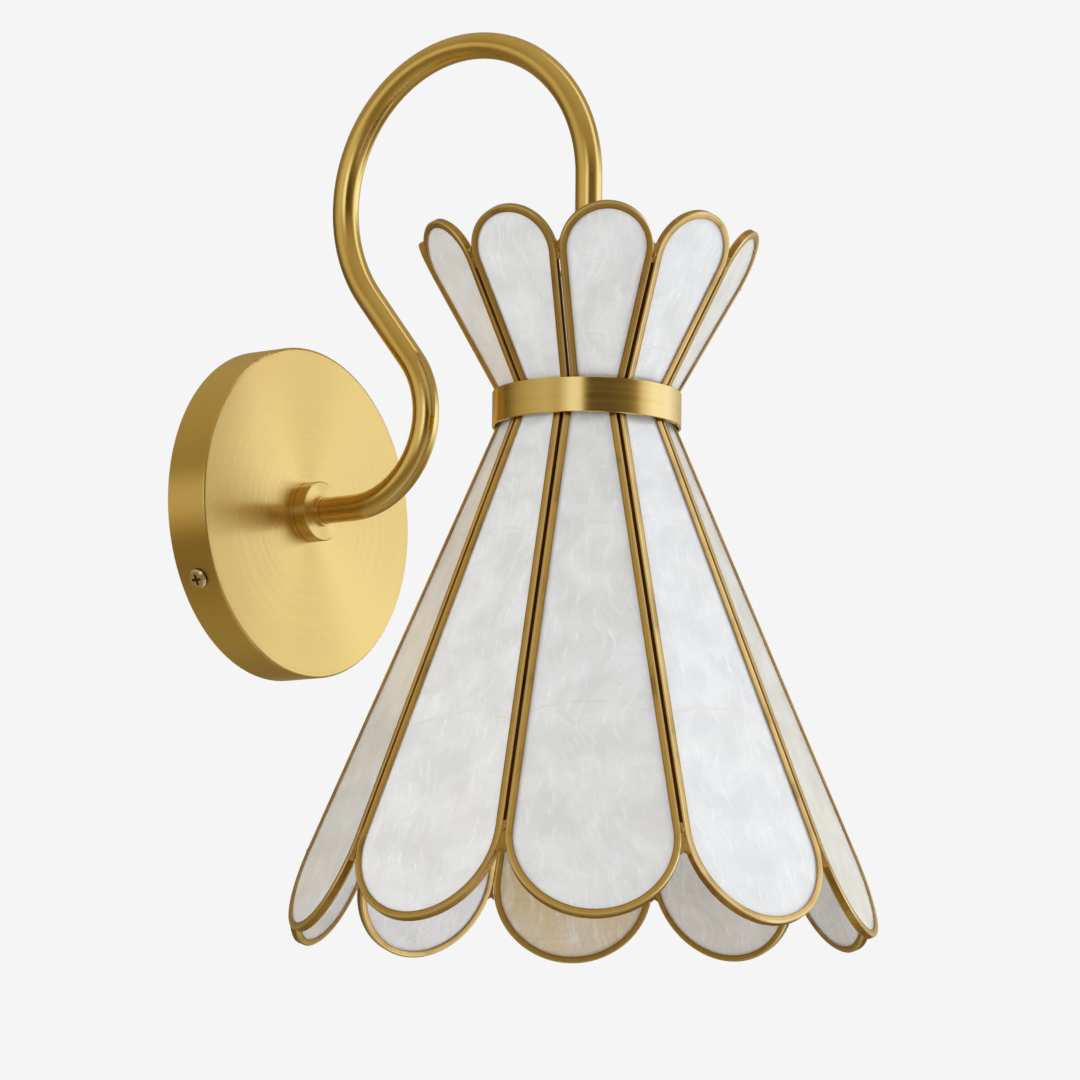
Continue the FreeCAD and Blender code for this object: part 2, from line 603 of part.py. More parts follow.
def petal_outline(body, tier, name, inset, offset="0"):
    """Tapered petal outline with a round end, inside the outer one by an inset."""
    sketch = new_sketch(body, name, "XY_Plane", offset)
    foot = f"(Sizes.foot_gap + {inset})"
    foot_half = half_width(tier, foot, inset)
    slope = math.radians(value(side_slope(tier)))
    radius = value(end_radius(tier, inset))
    centre = Vector(0, value(f"Sizes.{tier}_arc_centre"), 0)
    touch = Vector(radius * math.cos(slope), centre.y - radius * math.sin(slope), 0)
    corner = Vector(value(foot_half), value(foot), 0)
    mirrored = [Vector(-point.x, point.y, 0) for point in (touch, corner)]
    arc = Part.Circle(centre, Vector(0, 0, 1), radius)
    sketch.addGeometry([
        Part.LineSegment(mirrored[1], corner),
        Part.LineSegment(corner, touch),
        Part.ArcOfCircle(arc, -slope, math.pi + slope),
        Part.LineSegment(mirrored[0], mirrored[1]),
    ], False)
    sketch.addConstraint([
        Sketcher.Constraint("Coincident", 0, 2, 1, 1),
        Sketcher.Constraint("Tangent", 1, 2, 2, 1),
        Sketcher.Constraint("Tangent", 2, 2, 3, 1),
        Sketcher.Constraint("Coincident", 3, 2, 0, 1),
        Sketcher.Constraint("Symmetric", 0, 1, 0, 2, -2),
        Sketcher.Constraint("PointOnObject", 2, 3, -2),
    ])
    bind(sketch, "DistanceX", 0, 1, 0, 2, to=f"2 * {foot_half}", name="foot_width")
    bind(sketch, "DistanceY", -1, 1, 0, 2, to=foot, name="foot_height")
    bind(sketch, "DistanceY", -1, 1, 2, 3, to=f"Sizes.{tier}_arc_centre", name="end_centre")
    bind(sketch, "Radius", 2, to=end_radius(tier, inset), name="end_radius")
    return sketch


def make_petal_frame(tier, number, frame):
    """Brass channel round one petal: a lip in front, a lip behind and a slot for the shell."""
    label = f"{tier}_frame_{number:02d}"
    body = new_body(label, frame)
    outline = petal_outline(body, tier, f"{label}_outline", "0")
    blank = pad(body, outline, "Sizes.frame_depth", reverse=True)
    rear = -value("Sizes.frame_depth")
    front_edges = edges_where(blank, lambda edge, at: near(at.z, 0))
    broken = soften(body, "Chamfer", blank, front_edges, "Sizes.frame_edge")
    rear_edges = edges_where(broken, lambda edge, at: near(at.z, rear))
    soften(body, "Chamfer", broken, rear_edges, "Sizes.frame_rear_edge")
    opening = petal_outline(body, tier, f"{label}_opening", "Sizes.frame_face")
    pocket(body, opening)
    slot = petal_outline(body, tier, f"{label}_slot", "Sizes.frame_wall", "-Sizes.frame_lip")
    pocket(body, slot, "Sizes.shell_sheet + 2 * Sizes.shell_clearance")


def make_petal_shell(tier, number, frame):
    """Capiz panel of one petal, in its frame's slot."""
    label = f"{tier}_shell_{number:02d}"
    body = new_body(label, frame)
    inset = "(Sizes.frame_wall + Sizes.shell_clearance)"
    front = "-(Sizes.frame_lip + Sizes.shell_clearance)"
    panel = petal_outline(body, tier, f"{label}_outline", inset, front)
    pad(body, panel, "Sizes.shell_sheet", reverse=True)


def seam_frame(tier, turn):
    """Frame on a seam where the round ends part: Z runs along the seam and Y into the shade."""
    lean = math.radians(value(f"Sizes.{tier}_lean_angle"))
    sector = math.radians(value(HALF_SECTOR))
    slope = value(side_slope(tier))
    reach = value(f"Sizes.{tier}_arc_centre - {end_radius(tier, '0')} * sin({slope})")
    angle = math.radians(turn)
    up = Vector(0, 0, TIERS[tier])
    out = Vector(math.sin(angle), -math.cos(angle), 0)
    along = out * (math.sin(lean) / math.cos(sector)) + up * math.cos(lean)
    corner = out * (value(apothem(tier)) / math.cos(sector)) + along * reach
    along.normalize()
    inward = up * along.dot(out) - out * along.dot(up)
    local = Placement(corner, Rotation(inward.cross(along), inward, along, "ZYX"))
    return shade_frame().multiply(local)


def make_solder_joints():
    """Wedges of solder in the seams, where the petals' round ends part."""
    lean_factor = f"sin{HALF_SECTOR}"
    beads = []
    for tier in TIERS:
        front = f"(Sizes.seam_gap / 2 * sin{HALF_SECTOR} + Sizes.frame_edge)"
        flare = f"(cos(Sizes.{tier}_lean_angle) * {lean_factor})"
        half_front = (
            f"(Sizes.seam_gap / 2 * cos{HALF_SECTOR} - Sizes.frame_edge * {flare}"
            " - Sizes.solder_clearance)"
        )
        depth = "(Sizes.frame_depth - Sizes.frame_rear_edge - Sizes.frame_edge)"
        half_rear = f"({half_front} - {depth} * {flare})"
        step = 360 / value("Sizes.petal_count")
        for number, turn in enumerate(turns(tier), start=1):
            wedge = doc.addObject("Part::Wedge", f"{tier}_solder_{number:02d}")
            wedge.setExpression("Xmin", f"-{half_front}")
            wedge.setExpression("Xmax", half_front)
            wedge.setExpression("X2min", f"-{half_rear}")
            wedge.setExpression("X2max", half_rear)
            wedge.setExpression("Ymin", front)
            wedge.setExpression("Ymax", f"{front} + {depth}")
            wedge.setExpression("Zmin", "-Sizes.solder_rise")
            wedge.setExpression("Zmax", "Sizes.solder_length - Sizes.solder_rise")
            wedge.setExpression("Z2min", "-Sizes.solder_rise")
            wedge.setExpression("Z2max", "Sizes.solder_length - Sizes.solder_rise")
            wedge.Placement = seam_frame(tier, turn + step / 2)
            beads.append(wedge)
    joints = doc.addObject("Part::Compound", "solder_joints")
    joints.Label = "solder_joints"
    joints.Links = beads
    parts.append(joints)


# Lampholder and bulb, on the shade's axis below the carrier disc.

HOLDER_TOP = f"(-{CARRIER_HALF})"
CAP_END = f"({HOLDER_TOP} - Sizes.holder_cap_height)"
CAP_BORE = "(Sizes.holder_diameter / 2 - Sizes.holder_wall)"
SHELL_BORE = "(Sizes.thread_shell_bore / 2)"
SHELL_OUTSIDE = f"({SHELL_BORE} + Sizes.thread_shell_wall)"
BODY_BORE = f"({SHELL_OUTSIDE} + Sizes.holder_clearance)"
BODY_FLOOR = f"({CAP_END} - Sizes.holder_wall)"
SHELL_TOP = f"({BODY_FLOOR} - Sizes.contact_height / 2)"
SHELL_END = f"({SHELL_TOP} - Sizes.thread_shell_length)"
BODY_END = f"({SHELL_END} - Sizes.holder_rim)"
BULB_TOP = f"({BODY_FLOOR} - Sizes.contact_height - Sizes.bulb_seat_gap)"
BULB_CAP_END = f"({BODY_END} - Sizes.bulb_seat_gap)"


def make_lampholder_cap():
    """Upper half of the lampholder, screwed to the tube's lower end."""
    roof = f"({HOLDER_TOP} - Sizes.holder_wall)"
    outer = "Sizes.holder_diameter / 2"
    turned("lampholder_cap", shade_frame(), [
        (f"{TUBE_HOLE} / 2", roof), (f"{TUBE_HOLE} / 2", HOLDER_TOP),
        (f"{outer} - Sizes.holder_wall", HOLDER_TOP), (outer, roof), (outer, CAP_END),
        (CAP_BORE, CAP_END), (CAP_BORE, roof),
    ])


def make_lampholder_body():
    """Lower half of the lampholder, round the screw shell, with a collar inside the cap."""
    outer = "Sizes.holder_diameter / 2"
    collar = f"({CAP_BORE} - Sizes.holder_clearance)"
    collar_top = f"({CAP_END} + Sizes.holder_spigot)"
    inner = f"({collar} - Sizes.holder_wall)"
    turned("lampholder_body", shade_frame(), [
        ("0", BODY_FLOOR), ("0", CAP_END), (inner, CAP_END), (inner, collar_top),
        (collar, collar_top), (collar, CAP_END), (outer, CAP_END), (outer, BODY_END),
        (BODY_BORE, BODY_END), (BODY_BORE, BODY_FLOOR),
    ])


def make_lampholder_sleeve():
    """Brass screw shell that the bulb's cap goes into."""
    turned("lampholder_sleeve", shade_frame(), [
        (SHELL_BORE, SHELL_END), (SHELL_OUTSIDE, SHELL_END),
        (SHELL_OUTSIDE, SHELL_TOP), (SHELL_BORE, SHELL_TOP),
    ])


def make_lampholder_contact():
    """Centre contact at the bottom of the screw shell."""
    rim = "Sizes.contact_diameter / 2"
    turned("lampholder_contact", shade_frame(), [
        ("0", f"{BODY_FLOOR} - Sizes.contact_height"),
        (f"{rim} - Sizes.frame_edge", f"{BODY_FLOOR} - Sizes.contact_height"),
        (rim, f"{BODY_FLOOR} - Sizes.contact_height + Sizes.frame_edge"),
        (rim, BODY_FLOOR), ("0", BODY_FLOOR),
    ])


def make_bulb_cap():
    """Screw cap of the bulb with its insulator and tip contact."""
    rim = "Sizes.bulb_cap_diameter / 2"
    shoulder = f"({BULB_TOP} - Sizes.bulb_tip_height)"
    inside = f"({rim} - Sizes.bulb_cap_wall)"
    floor = f"({shoulder} - Sizes.bulb_tip_height)"
    turned("bulb_cap", shade_frame(), [
        ("0", floor), ("0", BULB_TOP), ("Sizes.bulb_tip_diameter / 2", BULB_TOP), (rim, shoulder),
        (rim, BULB_CAP_END), (inside, BULB_CAP_END), (inside, floor),
    ])


def globe_outline(body, name, inset):
    """Half outline of the globe: neck, cone that touches the sphere, and the sphere to its pole."""
    sketch = new_sketch(body, name, "XZ_Plane")
    radius = f"(Sizes.bulb_globe / 2 - {inset})"
    neck = f"(Sizes.bulb_neck / 2 - {inset})"
    middle = f"({BULB_TOP} - Sizes.bulb_length + Sizes.bulb_globe / 2)"
    rise = f"({BULB_CAP_END} - {middle})"
    top = f"({BULB_CAP_END} + Sizes.bulb_overlap)"
    neck_angle = math.atan2(value(rise), value(neck))
    touch_angle = neck_angle - math.acos(value(radius) / math.hypot(value(rise), value(neck)))
    centre = Vector(0, value(middle), 0)
    touch = centre + Vector(math.cos(touch_angle), math.sin(touch_angle), 0) * value(radius)
    shoulder = Vector(value(neck), value(BULB_CAP_END), 0)
    crest = Vector(value(neck), value(top), 0)
    pole = centre - Vector(0, value(radius), 0)
    circle_line = Part.Circle(centre, Vector(0, 0, 1), value(radius))
    sketch.addGeometry([
        Part.LineSegment(Vector(0, crest.y, 0), crest),
        Part.LineSegment(crest, shoulder),
        Part.LineSegment(shoulder, touch),
        Part.ArcOfCircle(circle_line, -math.pi / 2, touch_angle),
        Part.LineSegment(pole, Vector(0, crest.y, 0)),
    ], False)
    sketch.addConstraint([
        Sketcher.Constraint("Coincident", 0, 2, 1, 1),
        Sketcher.Constraint("Coincident", 1, 2, 2, 1),
        Sketcher.Constraint("Tangent", 2, 2, 3, 2),
        Sketcher.Constraint("Coincident", 3, 1, 4, 1),
        Sketcher.Constraint("Coincident", 4, 2, 0, 1),
        Sketcher.Constraint("PointOnObject", 3, 1, -2),
        Sketcher.Constraint("Horizontal", 0),
        Sketcher.Constraint("PointOnObject", 3, 3, -2),
        Sketcher.Constraint("PointOnObject", 0, 1, -2),
    ])
    place_point(sketch, 1, 1, neck, top, "crest")
    place_point(sketch, 1, 2, neck, BULB_CAP_END, "shoulder")
    bind(sketch, "DistanceY", -1, 1, 3, 3, to=middle, name="globe_middle")
    bind(sketch, "Radius", 3, to=radius, name="globe_radius")
    return sketch


def make_bulb_glass():
    """Hollow glass globe, its neck open inside the screw cap."""
    body = new_body("bulb_glass", shade_frame())
    revolve(body, globe_outline(body, "globe_outside", "0"))
    hollow = globe_outline(body, "globe_inside", "Sizes.bulb_glass")
    before = body.Shape.Volume
    groove = body.newObject("PartDesign::Groove", "globe_hollow")
    groove.Profile = hollow
    groove.ReferenceAxis = (hollow, ["V_Axis"])
    groove.Angle = 360
    doc.recompute()
    if body.Shape.Volume >= before:
        raise RuntimeError("the globe is not hollow")


def make_petals():
    """Both tiers of petals, a frame and a shell each."""
    for tier in TIERS:
        for number, turn in enumerate(turns(tier), start=1):
            frame = petal_frame(tier, turn)
            make_petal_frame(tier, number, frame)
            make_petal_shell(tier, number, frame)


def check_document():
    """Stop where any object failed or any sub-part has no valid solid."""
    for item in doc.Objects:
        if "Invalid" in item.State or "Error" in item.State:
            raise RuntimeError(f"{item.Label} failed: {item.State}")
    for part in parts:
        if part.Shape.isNull() or not part.Shape.isValid() or not part.Shape.Solids:
            raise RuntimeError(f"{part.Label} has no valid solid")


def write_parts():
    """One STEP file for each sub-part, named after it."""
    os.makedirs("parts", exist_ok=True)
    for part in parts:
        part.Shape.exportStep(f"parts/{part.Label}.step")


make_wall_bracket()
make_backplate()
make_cover_screws()
make_ground_screw()
make_hub_collar()
make_hub_washer()
make_nut("hub_nut", wall_frame(), (
    "Sizes.plate_depth - Sizes.plate_wall - Sizes.washer_sheet - Sizes.nut_height"
))
make_swan_neck()
make_waist_ring()
make_shade_carrier()
make_nut("shade_nut", shade_frame(), CARRIER_HALF)
make_petals()
make_solder_joints()
make_lampholder_cap()
make_lampholder_body()
make_lampholder_sleeve()
make_lampholder_contact()
make_bulb_cap()
make_bulb_glass()
doc.recompute()
check_document()
write_parts()
print(len(parts), "parts written")
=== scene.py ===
"""Looks of the shell wall sconce: its finishes, its fine pieces, the studio and the camera."""

import logging
import math
from collections.abc import Callable
from dataclasses import dataclass, field
from enum import Enum

import bpy
from mathutils import Matrix, Vector


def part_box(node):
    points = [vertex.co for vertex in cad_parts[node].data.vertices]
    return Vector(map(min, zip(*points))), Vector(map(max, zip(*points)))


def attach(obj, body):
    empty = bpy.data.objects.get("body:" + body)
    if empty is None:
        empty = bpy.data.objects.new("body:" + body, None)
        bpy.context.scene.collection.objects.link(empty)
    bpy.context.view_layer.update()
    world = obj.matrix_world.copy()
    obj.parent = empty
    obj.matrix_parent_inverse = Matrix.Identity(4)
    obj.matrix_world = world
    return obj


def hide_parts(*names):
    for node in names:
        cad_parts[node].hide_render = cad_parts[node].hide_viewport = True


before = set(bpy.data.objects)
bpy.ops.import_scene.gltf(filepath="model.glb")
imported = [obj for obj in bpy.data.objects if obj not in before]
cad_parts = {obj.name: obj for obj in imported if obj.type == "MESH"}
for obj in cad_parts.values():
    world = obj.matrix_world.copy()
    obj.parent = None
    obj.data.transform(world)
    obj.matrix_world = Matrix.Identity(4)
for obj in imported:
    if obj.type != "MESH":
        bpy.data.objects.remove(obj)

LOG = logging.getLogger("sconce")

Colour = tuple[float, float, float]
Levels = tuple[tuple[float, float], ...]
Stops = list[tuple[float, Colour]]
Socket = bpy.types.NodeSocket

FIXTURE = "fixture"
BULB = "bulb"
Y_AXIS = Vector((0, 1, 0))
Z_AXIS = Vector((0, 0, 1))
MM = 0.001


def srgb(red: int, green: int, blue: int) -> Colour:
    """Turns a colour as it is seen on a screen into the linear one that a shader takes.

    Args:
        red: Red, 0 to 255.
        green: Green, 0 to 255.
        blue: Blue, 0 to 255.

    Returns:
        The linear colour, each part 0 to 1.
    """

    def linear(part: int) -> float:
        """Takes the screen's curve off one part of the colour."""
        share = part / 255
        return share / 12.92 if share <= 0.04045 else ((share + 0.055) / 1.055) ** 2.4

    return linear(red), linear(green), linear(blue)


def compass(*levels: tuple[float, float]) -> Levels:
    """Keeps levels round the compass by their turn in radians, from turns written in degrees."""
    return tuple((math.radians(turn), level) for turn, level in levels)


class Tier(Enum):
    """The two rings of petals."""

    SKIRT = "skirt"
    CROWN = "crown"


@dataclass(frozen=True)
class PetalRing:
    """Where one ring of petals stands round the shade's axis.

    Each petal has its own axes: x across it, y along it from foot to tip, z out of its face.
    """

    tier: Tier
    upward: int
    foot_radius: float
    lean: float
    first_turn: float
    reach: float
    tip_radius: float
    count: int = 10

    def turn(self, number: int) -> float:
        """Gives the turn of a petal round the axis, in radians."""
        return math.radians(self.first_turn + 360 / self.count * (number - 1))

    def axes(self, number: int) -> Matrix:
        """Gives a petal's axes, with its origin at its foot on the axis's waist plane.

        Args:
            number: The petal's number, from 1.

        Returns:
            The 4x4 matrix from the petal's own axes to the frame.
        """
        turn = self.turn(number)
        lean = math.radians(self.lean)
        out = Vector((math.sin(turn), -math.cos(turn), 0))
        along = out * math.sin(lean) + Z_AXIS * (self.upward * math.cos(lean))
        normal = out * math.cos(lean) - Z_AXIS * (self.upward * math.sin(lean))
        across = along.cross(normal)
        origin = SHADE_CENTRE + out * self.foot_radius
        turned = Matrix((across, along, normal)).transposed().to_4x4()
        return Matrix.Translation(origin) @ turned


SHADE_CENTRE = Vector((0, -138.518 * MM, 25.4 * MM))
SKIRT = PetalRing(
    tier=Tier.SKIRT,
    upward=-1,
    foot_radius=27.8 * MM,
    lean=22.0,
    first_turn=19.1,
    reach=170 * MM,
    tip_radius=28.7 * MM,
)
CROWN = PetalRing(
    tier=Tier.CROWN,
    upward=1,
    foot_radius=27.45 * MM,
    lean=28.25,
    first_turn=23.8,
    reach=53.3 * MM,
    tip_radius=16.1 * MM,
)


class NodeSums:
    """A node tree whose sums are written as calls on sockets."""

    def __init__(self, tree: bpy.types.NodeTree) -> None:
        """Takes up a material's or the world's tree and empties it."""
        self.tree = tree
        self.tree.nodes.clear()

    def add(self, kind: str) -> bpy.types.Node:
        """Adds a node of a kind."""
        return self.tree.nodes.new(kind)

    def put(self, socket: Socket, value: object) -> None:
        """Sets a socket to a value, or links it to another socket.

        Args:
            socket: The input to fill.
            value: A number, vector, colour or another node's output.
        """
        if isinstance(value, bpy.types.NodeSocket):
            self.tree.links.new(value, socket)
        elif isinstance(value, tuple) and len(socket.default_value) == 4 and len(value) == 3:
            socket.default_value = (*value, 1)
        else:
            socket.default_value = value

    def math(self, operation: str, first: object, second: object = 0.0, third: object = 0.0) -> Socket:
        """Does one sum on numbers.

        Args:
            operation: The sum's name.
            first: The first number or socket.
            second: The second, where the sum has one.
            third: The third, where the sum has one.

        Returns:
            The result's socket.
        """
        node = self.add("ShaderNodeMath")
        node.operation = operation
        for socket, value in zip(node.inputs, (first, second, third)):
            self.put(socket, value)
        return node.outputs[0]

    def times(self, first: object, second: object) -> Socket:
        """Multiplies two numbers."""
        return self.math("MULTIPLY", first, second)

    def weighted(self, first: object, second: object, share: float) -> Socket:
        """Adds two numbers, the first by its share and the second by the rest."""
        return self.math("ADD", self.times(first, share), self.times(second, 1 - share))

    def vector(self, operation: str, first: object, second: object = (0.0, 0.0, 0.0)) -> Socket:
        """Does one sum on vectors.

        Args:
            operation: The sum's name.
            first: The first vector or socket.
            second: The second, where the sum has one.

        Returns:
            The vector's socket.
        """
        node = self.add("ShaderNodeVectorMath")
        node.operation = operation
        self.put(node.inputs[0], first)
        self.put(node.inputs[1], second)
        return node.outputs[0]

    def lengthened(self, where: object, factor: object) -> Socket:
        """Scales a vector by a number.

        Args:
            where: The vector.
            factor: The number.

        Returns:
            The vector's socket.
        """
        node = self.add("ShaderNodeVectorMath")
        node.operation = "SCALE"
        self.put(node.inputs[0], where)
        self.put(node.inputs["Scale"], factor)
        return node.outputs[0]

    def length(self, where: object) -> Socket:
        """Measures a vector's length."""
        return self.vector("LENGTH", where).node.outputs["Value"]

    def along(self, where: object, direction: Vector) -> Socket:
        """Measures how far a vector reaches along a direction."""
        return self.vector("DOT_PRODUCT", where, tuple(direction)).node.outputs["Value"]

    def range(self, value: object, low: float, high: float, start: float = 0.0, end: float = 1.0) -> Socket:
        """Stretches a number from one range to another, smoothly and clamped.

        Args:
            value: The number.
            low: The first range's start.
            high: The first range's end.
            start: The result at low.
            end: The result at high.

        Returns:
            The result's socket.
        """
        node = self.add("ShaderNodeMapRange")
        node.interpolation_type = "SMOOTHSTEP"
        names = ("Value", "From Min", "From Max", "To Min", "To Max")
        for name, part in zip(names, (value, low, high, start, end)):
            self.put(node.inputs[name], part)
        return node.outputs["Result"]

    def band(self, value: object, rise: tuple[float, float], fall: tuple[float, float]) -> Socket:
        """Gives 1 between a smooth rise and a smooth fall of a number, and 0 outside them."""
        return self.math("SUBTRACT", self.range(value, *rise), self.range(value, *fall))

    def blend(self, share: object, first: object, second: object) -> Socket:
        """Mixes two colours.

        Args:
            share: The second colour's share.
            first: The colour at share 0.
            second: The colour at share 1.

        Returns:
            The colour's socket.
        """
        node = self.add("ShaderNodeMix")
        node.data_type = "RGBA"
        self.put(node.inputs[0], share)
        self.put(node.inputs[6], first)
        self.put(node.inputs[7], second)
        return node.outputs[2]

    def ramp(self, value: object, stops: Stops) -> Socket:
        """Turns a number into a colour by a row of stops.

        Args:
            value: The number, 0 to 1.
            stops: The places and colours, in rising order.

        Returns:
            The colour's socket.
        """
        node = self.add("ShaderNodeValToRGB")
        elements = node.color_ramp.elements
        while len(elements) < len(stops):
            elements.new(0.5)
        for element, (place, colour) in zip(elements, stops):
            element.position = place
            element.color = (*colour, 1)
        self.put(node.inputs[0], value)
        return node.outputs[0]

    def noise(self, where: object, scale: float, detail: float = 3.0, distortion: float = 0.0) -> Socket:
        """Gives cloud noise, 0 to 1.

        Args:
            where: The place it is read at.
            scale: How close its clouds stand.
            detail: How many finer layers it has.
            distortion: How much it swirls.

        Returns:
            The number's socket.
        """
        node = self.add("ShaderNodeTexNoise")
        self.put(node.inputs["Vector"], where)
        node.inputs["Scale"].default_value = scale
        node.inputs["Detail"].default_value = detail
        node.inputs["Distortion"].default_value = distortion
        return node.outputs[0]

    def split(self, where: object) -> list[Socket]:
        """Gives the x, y and z of a vector.

        Args:
            where: The vector.

        Returns:
            Three sockets.
        """
        node = self.add("ShaderNodeSeparateXYZ")
        self.put(node.inputs[0], where)
        return list(node.outputs)

    def join(self, x: object, y: object) -> Socket:
        """Makes a vector of an x and a y.

        Args:
            x: Its x.
            y: Its y.

        Returns:
            The vector's socket.
        """
        node = self.add("ShaderNodeCombineXYZ")
        self.put(node.inputs[0], x)
        self.put(node.inputs[1], y)
        return node.outputs[0]


class Graph(NodeSums):
    """A material's node tree, with its shader."""

    def __init__(self, name: str) -> None:
        """Makes an empty material, with a shader on its output.

        Args:
            name: The material's name.
        """
        self.material = bpy.data.materials.new(name)
        self.material.use_nodes = True
        super().__init__(self.material.node_tree)
        self.shader = self.add("ShaderNodeBsdfPrincipled")
        output = self.add("ShaderNodeOutputMaterial")
        self.put(output.inputs["Surface"], self.shader.outputs[0])

    def shade(self, **values: object) -> None:
        """Sets the shader's sockets, named with underscores for spaces."""
        for name, value in values.items():
            self.put(self.shader.inputs[name.replace("_", " ")], value)

    def bump(self, height: object, strength: float, distance: float) -> None:
        """Raises the surface by a height pattern.

        Args:
            height: The pattern, 0 to 1.
            strength: How strongly it shows.
            distance: How high a 1 stands, in metres.
        """
        node = self.add("ShaderNodeBump")
        node.inputs["Strength"].default_value = strength
        node.inputs["Distance"].default_value = distance
        self.put(node.inputs["Height"], height)
        self.shade(Normal=node.outputs[0])

    def place(self) -> Socket:
        """Gives the point's place in the frame, which is every piece's own."""
        return self.add("ShaderNodeTexCoord").outputs["Object"]

    def facing(self) -> Socket:
        """Gives the surface's true normal."""
        return self.add("ShaderNodeNewGeometry").outputs["True Normal"]

    def scaled(self, where: object, scale: tuple[float, float, float]) -> Socket:
        """Stretches a place along its axes."""
        return self.vector("MULTIPLY", where, scale)

    def local(self, axes: Matrix) -> Socket:
        """Gives the point's place in another set of axes.

        Args:
            axes: The 4x4 matrix from those axes to the frame.

        Returns:
            The vector's socket.
        """
        node = self.add("ShaderNodeMapping")
        node.vector_type = "TEXTURE"
        self.put(node.inputs["Vector"], self.place())
        node.inputs["Location"].default_value = axes.translation
        node.inputs["Rotation"].default_value = axes.to_euler("XYZ")
        return node.outputs[0]

    def slanted(self, where: object, turn: float, scale: tuple[float, float, float]) -> Socket:
        """Stretches a place and turns it about z.

        Args:
            where: The place.
            turn: The turn, in radians.
            scale: The stretch along each axis.

        Returns:
            The vector's socket.
        """
        node = self.add("ShaderNodeMapping")
        self.put(node.inputs["Vector"], where)
        node.inputs["Rotation"].default_value = (0, 0, turn)
        node.inputs["Scale"].default_value = scale
        return node.outputs[0]

    def across_rings(self, centre: Vector, axis: Vector) -> Socket:
        """Gives the direction on the surface that crosses brushing round an axis.

        Args:
            centre: A point on the axis.
            axis: The axis's direction.

        Returns:
            The direction's socket.
        """
        spoke = self.vector("SUBTRACT", self.place(), tuple(centre))
        brushed = self.vector("CROSS_PRODUCT", tuple(axis), spoke)
        facing = self.add("ShaderNodeNewGeometry").outputs["Normal"]
        return self.vector("NORMALIZE", self.vector("CROSS_PRODUCT", brushed, facing))


@dataclass(frozen=True)
class TurnedBrass:
    """Brass brushed on a lathe, with fine rings round an axis and a clear lacquer."""

    name: str
    centre: Vector
    axis: Vector
    light: Colour = srgb(240, 210, 140)
    dark: Colour = srgb(222, 190, 114)
    rings: float = 1500.0
    ring_share: float = 0.75
    cloud: float = 24.0
    wobble: float = 140.0
    wobble_width: float = 1.2 * MM
    roughness: float = 0.27
    spread: float = 0.07
    anisotropy: float = 0.8
    lacquer: float = 0.12
    lacquer_roughness: float = 0.08

    def make(self) -> bpy.types.Material:
        """Builds the material: colour, gloss and bump all follow the rings.

        Returns:
            The material.
        """
        g = Graph(self.name)
        spoke = g.vector("SUBTRACT", g.place(), tuple(self.centre))
        depth = g.along(spoke, self.axis)
        level = g.vector("SUBTRACT", spoke, g.lengthened(tuple(self.axis), depth))
        wobble = g.times(g.noise(spoke, self.wobble, 2), self.wobble_width)
        radius = g.math("ADD", g.length(level), wobble)
        rings = g.noise(g.join(radius, depth), self.rings, 3)
        tint = g.weighted(rings, g.noise(spoke, self.cloud, 4), self.ring_share)
        g.shade(
            Base_Color=g.ramp(tint, [(0.25, self.dark), (0.8, self.light)]),
            Metallic=1.0,
            Roughness=g.range(tint, 0.2, 0.9, self.roughness - self.spread, self.roughness + self.spread),
            Anisotropic=self.anisotropy,
            Tangent=g.across_rings(self.centre, self.axis),
            Coat_Weight=self.lacquer,
            Coat_Roughness=self.lacquer_roughness,
        )
        g.bump(rings, 0.3, 0.05 * MM)
        return g.material


@dataclass(frozen=True)
class SatinBrass:
    """Lacquered brass rubbed to an even satin, with faint clouds and hairline scratches."""

    name: str
    light: Colour = srgb(240, 208, 130)
    dark: Colour = srgb(228, 193, 112)
    cloud: float = 45.0
    cloud_share: float = 0.7
    grain: float = 2600.0
    grain_stretch: tuple[float, float, float] = (1.0, 0.25, 0.25)
    smoothest: float = 0.13
    roughest: float = 0.23
    lacquer: float = 0.12
    lacquer_roughness: float = 0.08

    def make(self) -> bpy.types.Material:
        """Builds the material from slow clouds and a fine grain.

        Returns:
            The material.
        """
        g = Graph(self.name)
        cloud = g.noise(g.place(), self.cloud, 4, 0.3)
        grain = g.noise(g.scaled(g.place(), self.grain_stretch), self.grain, 2)
        tint = g.weighted(cloud, grain, self.cloud_share)
        g.shade(
            Base_Color=g.ramp(tint, [(0.3, self.dark), (0.65, self.light)]),
            Metallic=1.0,
            Roughness=g.range(tint, 0.3, 0.7, self.smoothest, self.roughest),
            Coat_Weight=self.lacquer,
            Coat_Roughness=self.lacquer_roughness,
        )
        g.bump(grain, 0.05, 0.02 * MM)
        return g.material


@dataclass(frozen=True)
class ScrewBrass:
    """Pale brass of the side screws, with painted shade in the cross and round the head's foot."""

    name: str
    along: Vector
    seat: float = 60.0 * MM
    painted_shade_below: float = 0.55 * MM
    own_colour_above: float = 0.95 * MM
    grain: float = 1800.0
    light: Colour = srgb(252, 232, 192)
    # Painted shade colour for the cross and the head's foot, also mixed a little into the grain.
    dark: Colour = srgb(96, 66, 34)

    def make(self) -> bpy.types.Material:
        """Builds the material from the height above the head's seat, painted dark as shade low on the head.

        Returns:
            The material.
        """
        g = Graph(self.name)
        height = g.math("ABSOLUTE", g.along(g.place(), self.along))
        out_of_painted_shade = g.range(height, self.seat + self.painted_shade_below, self.seat + self.own_colour_above)
        grain = g.noise(g.place(), self.grain, 3)
        wear_and_highlight = g.blend(g.range(grain, 0.35, 0.7, 0, 0.2), self.light, self.dark)
        g.shade(
            # Painted shade: below the height the head turns dark, in the cross and round its foot.
            Base_Color=g.blend(out_of_painted_shade, self.dark, wear_and_highlight),
            Metallic=1.0,
            Roughness=g.range(grain, 0.3, 0.7, 0.18, 0.3),
        )
        g.bump(grain, 0.08, 0.03 * MM)
        return g.material


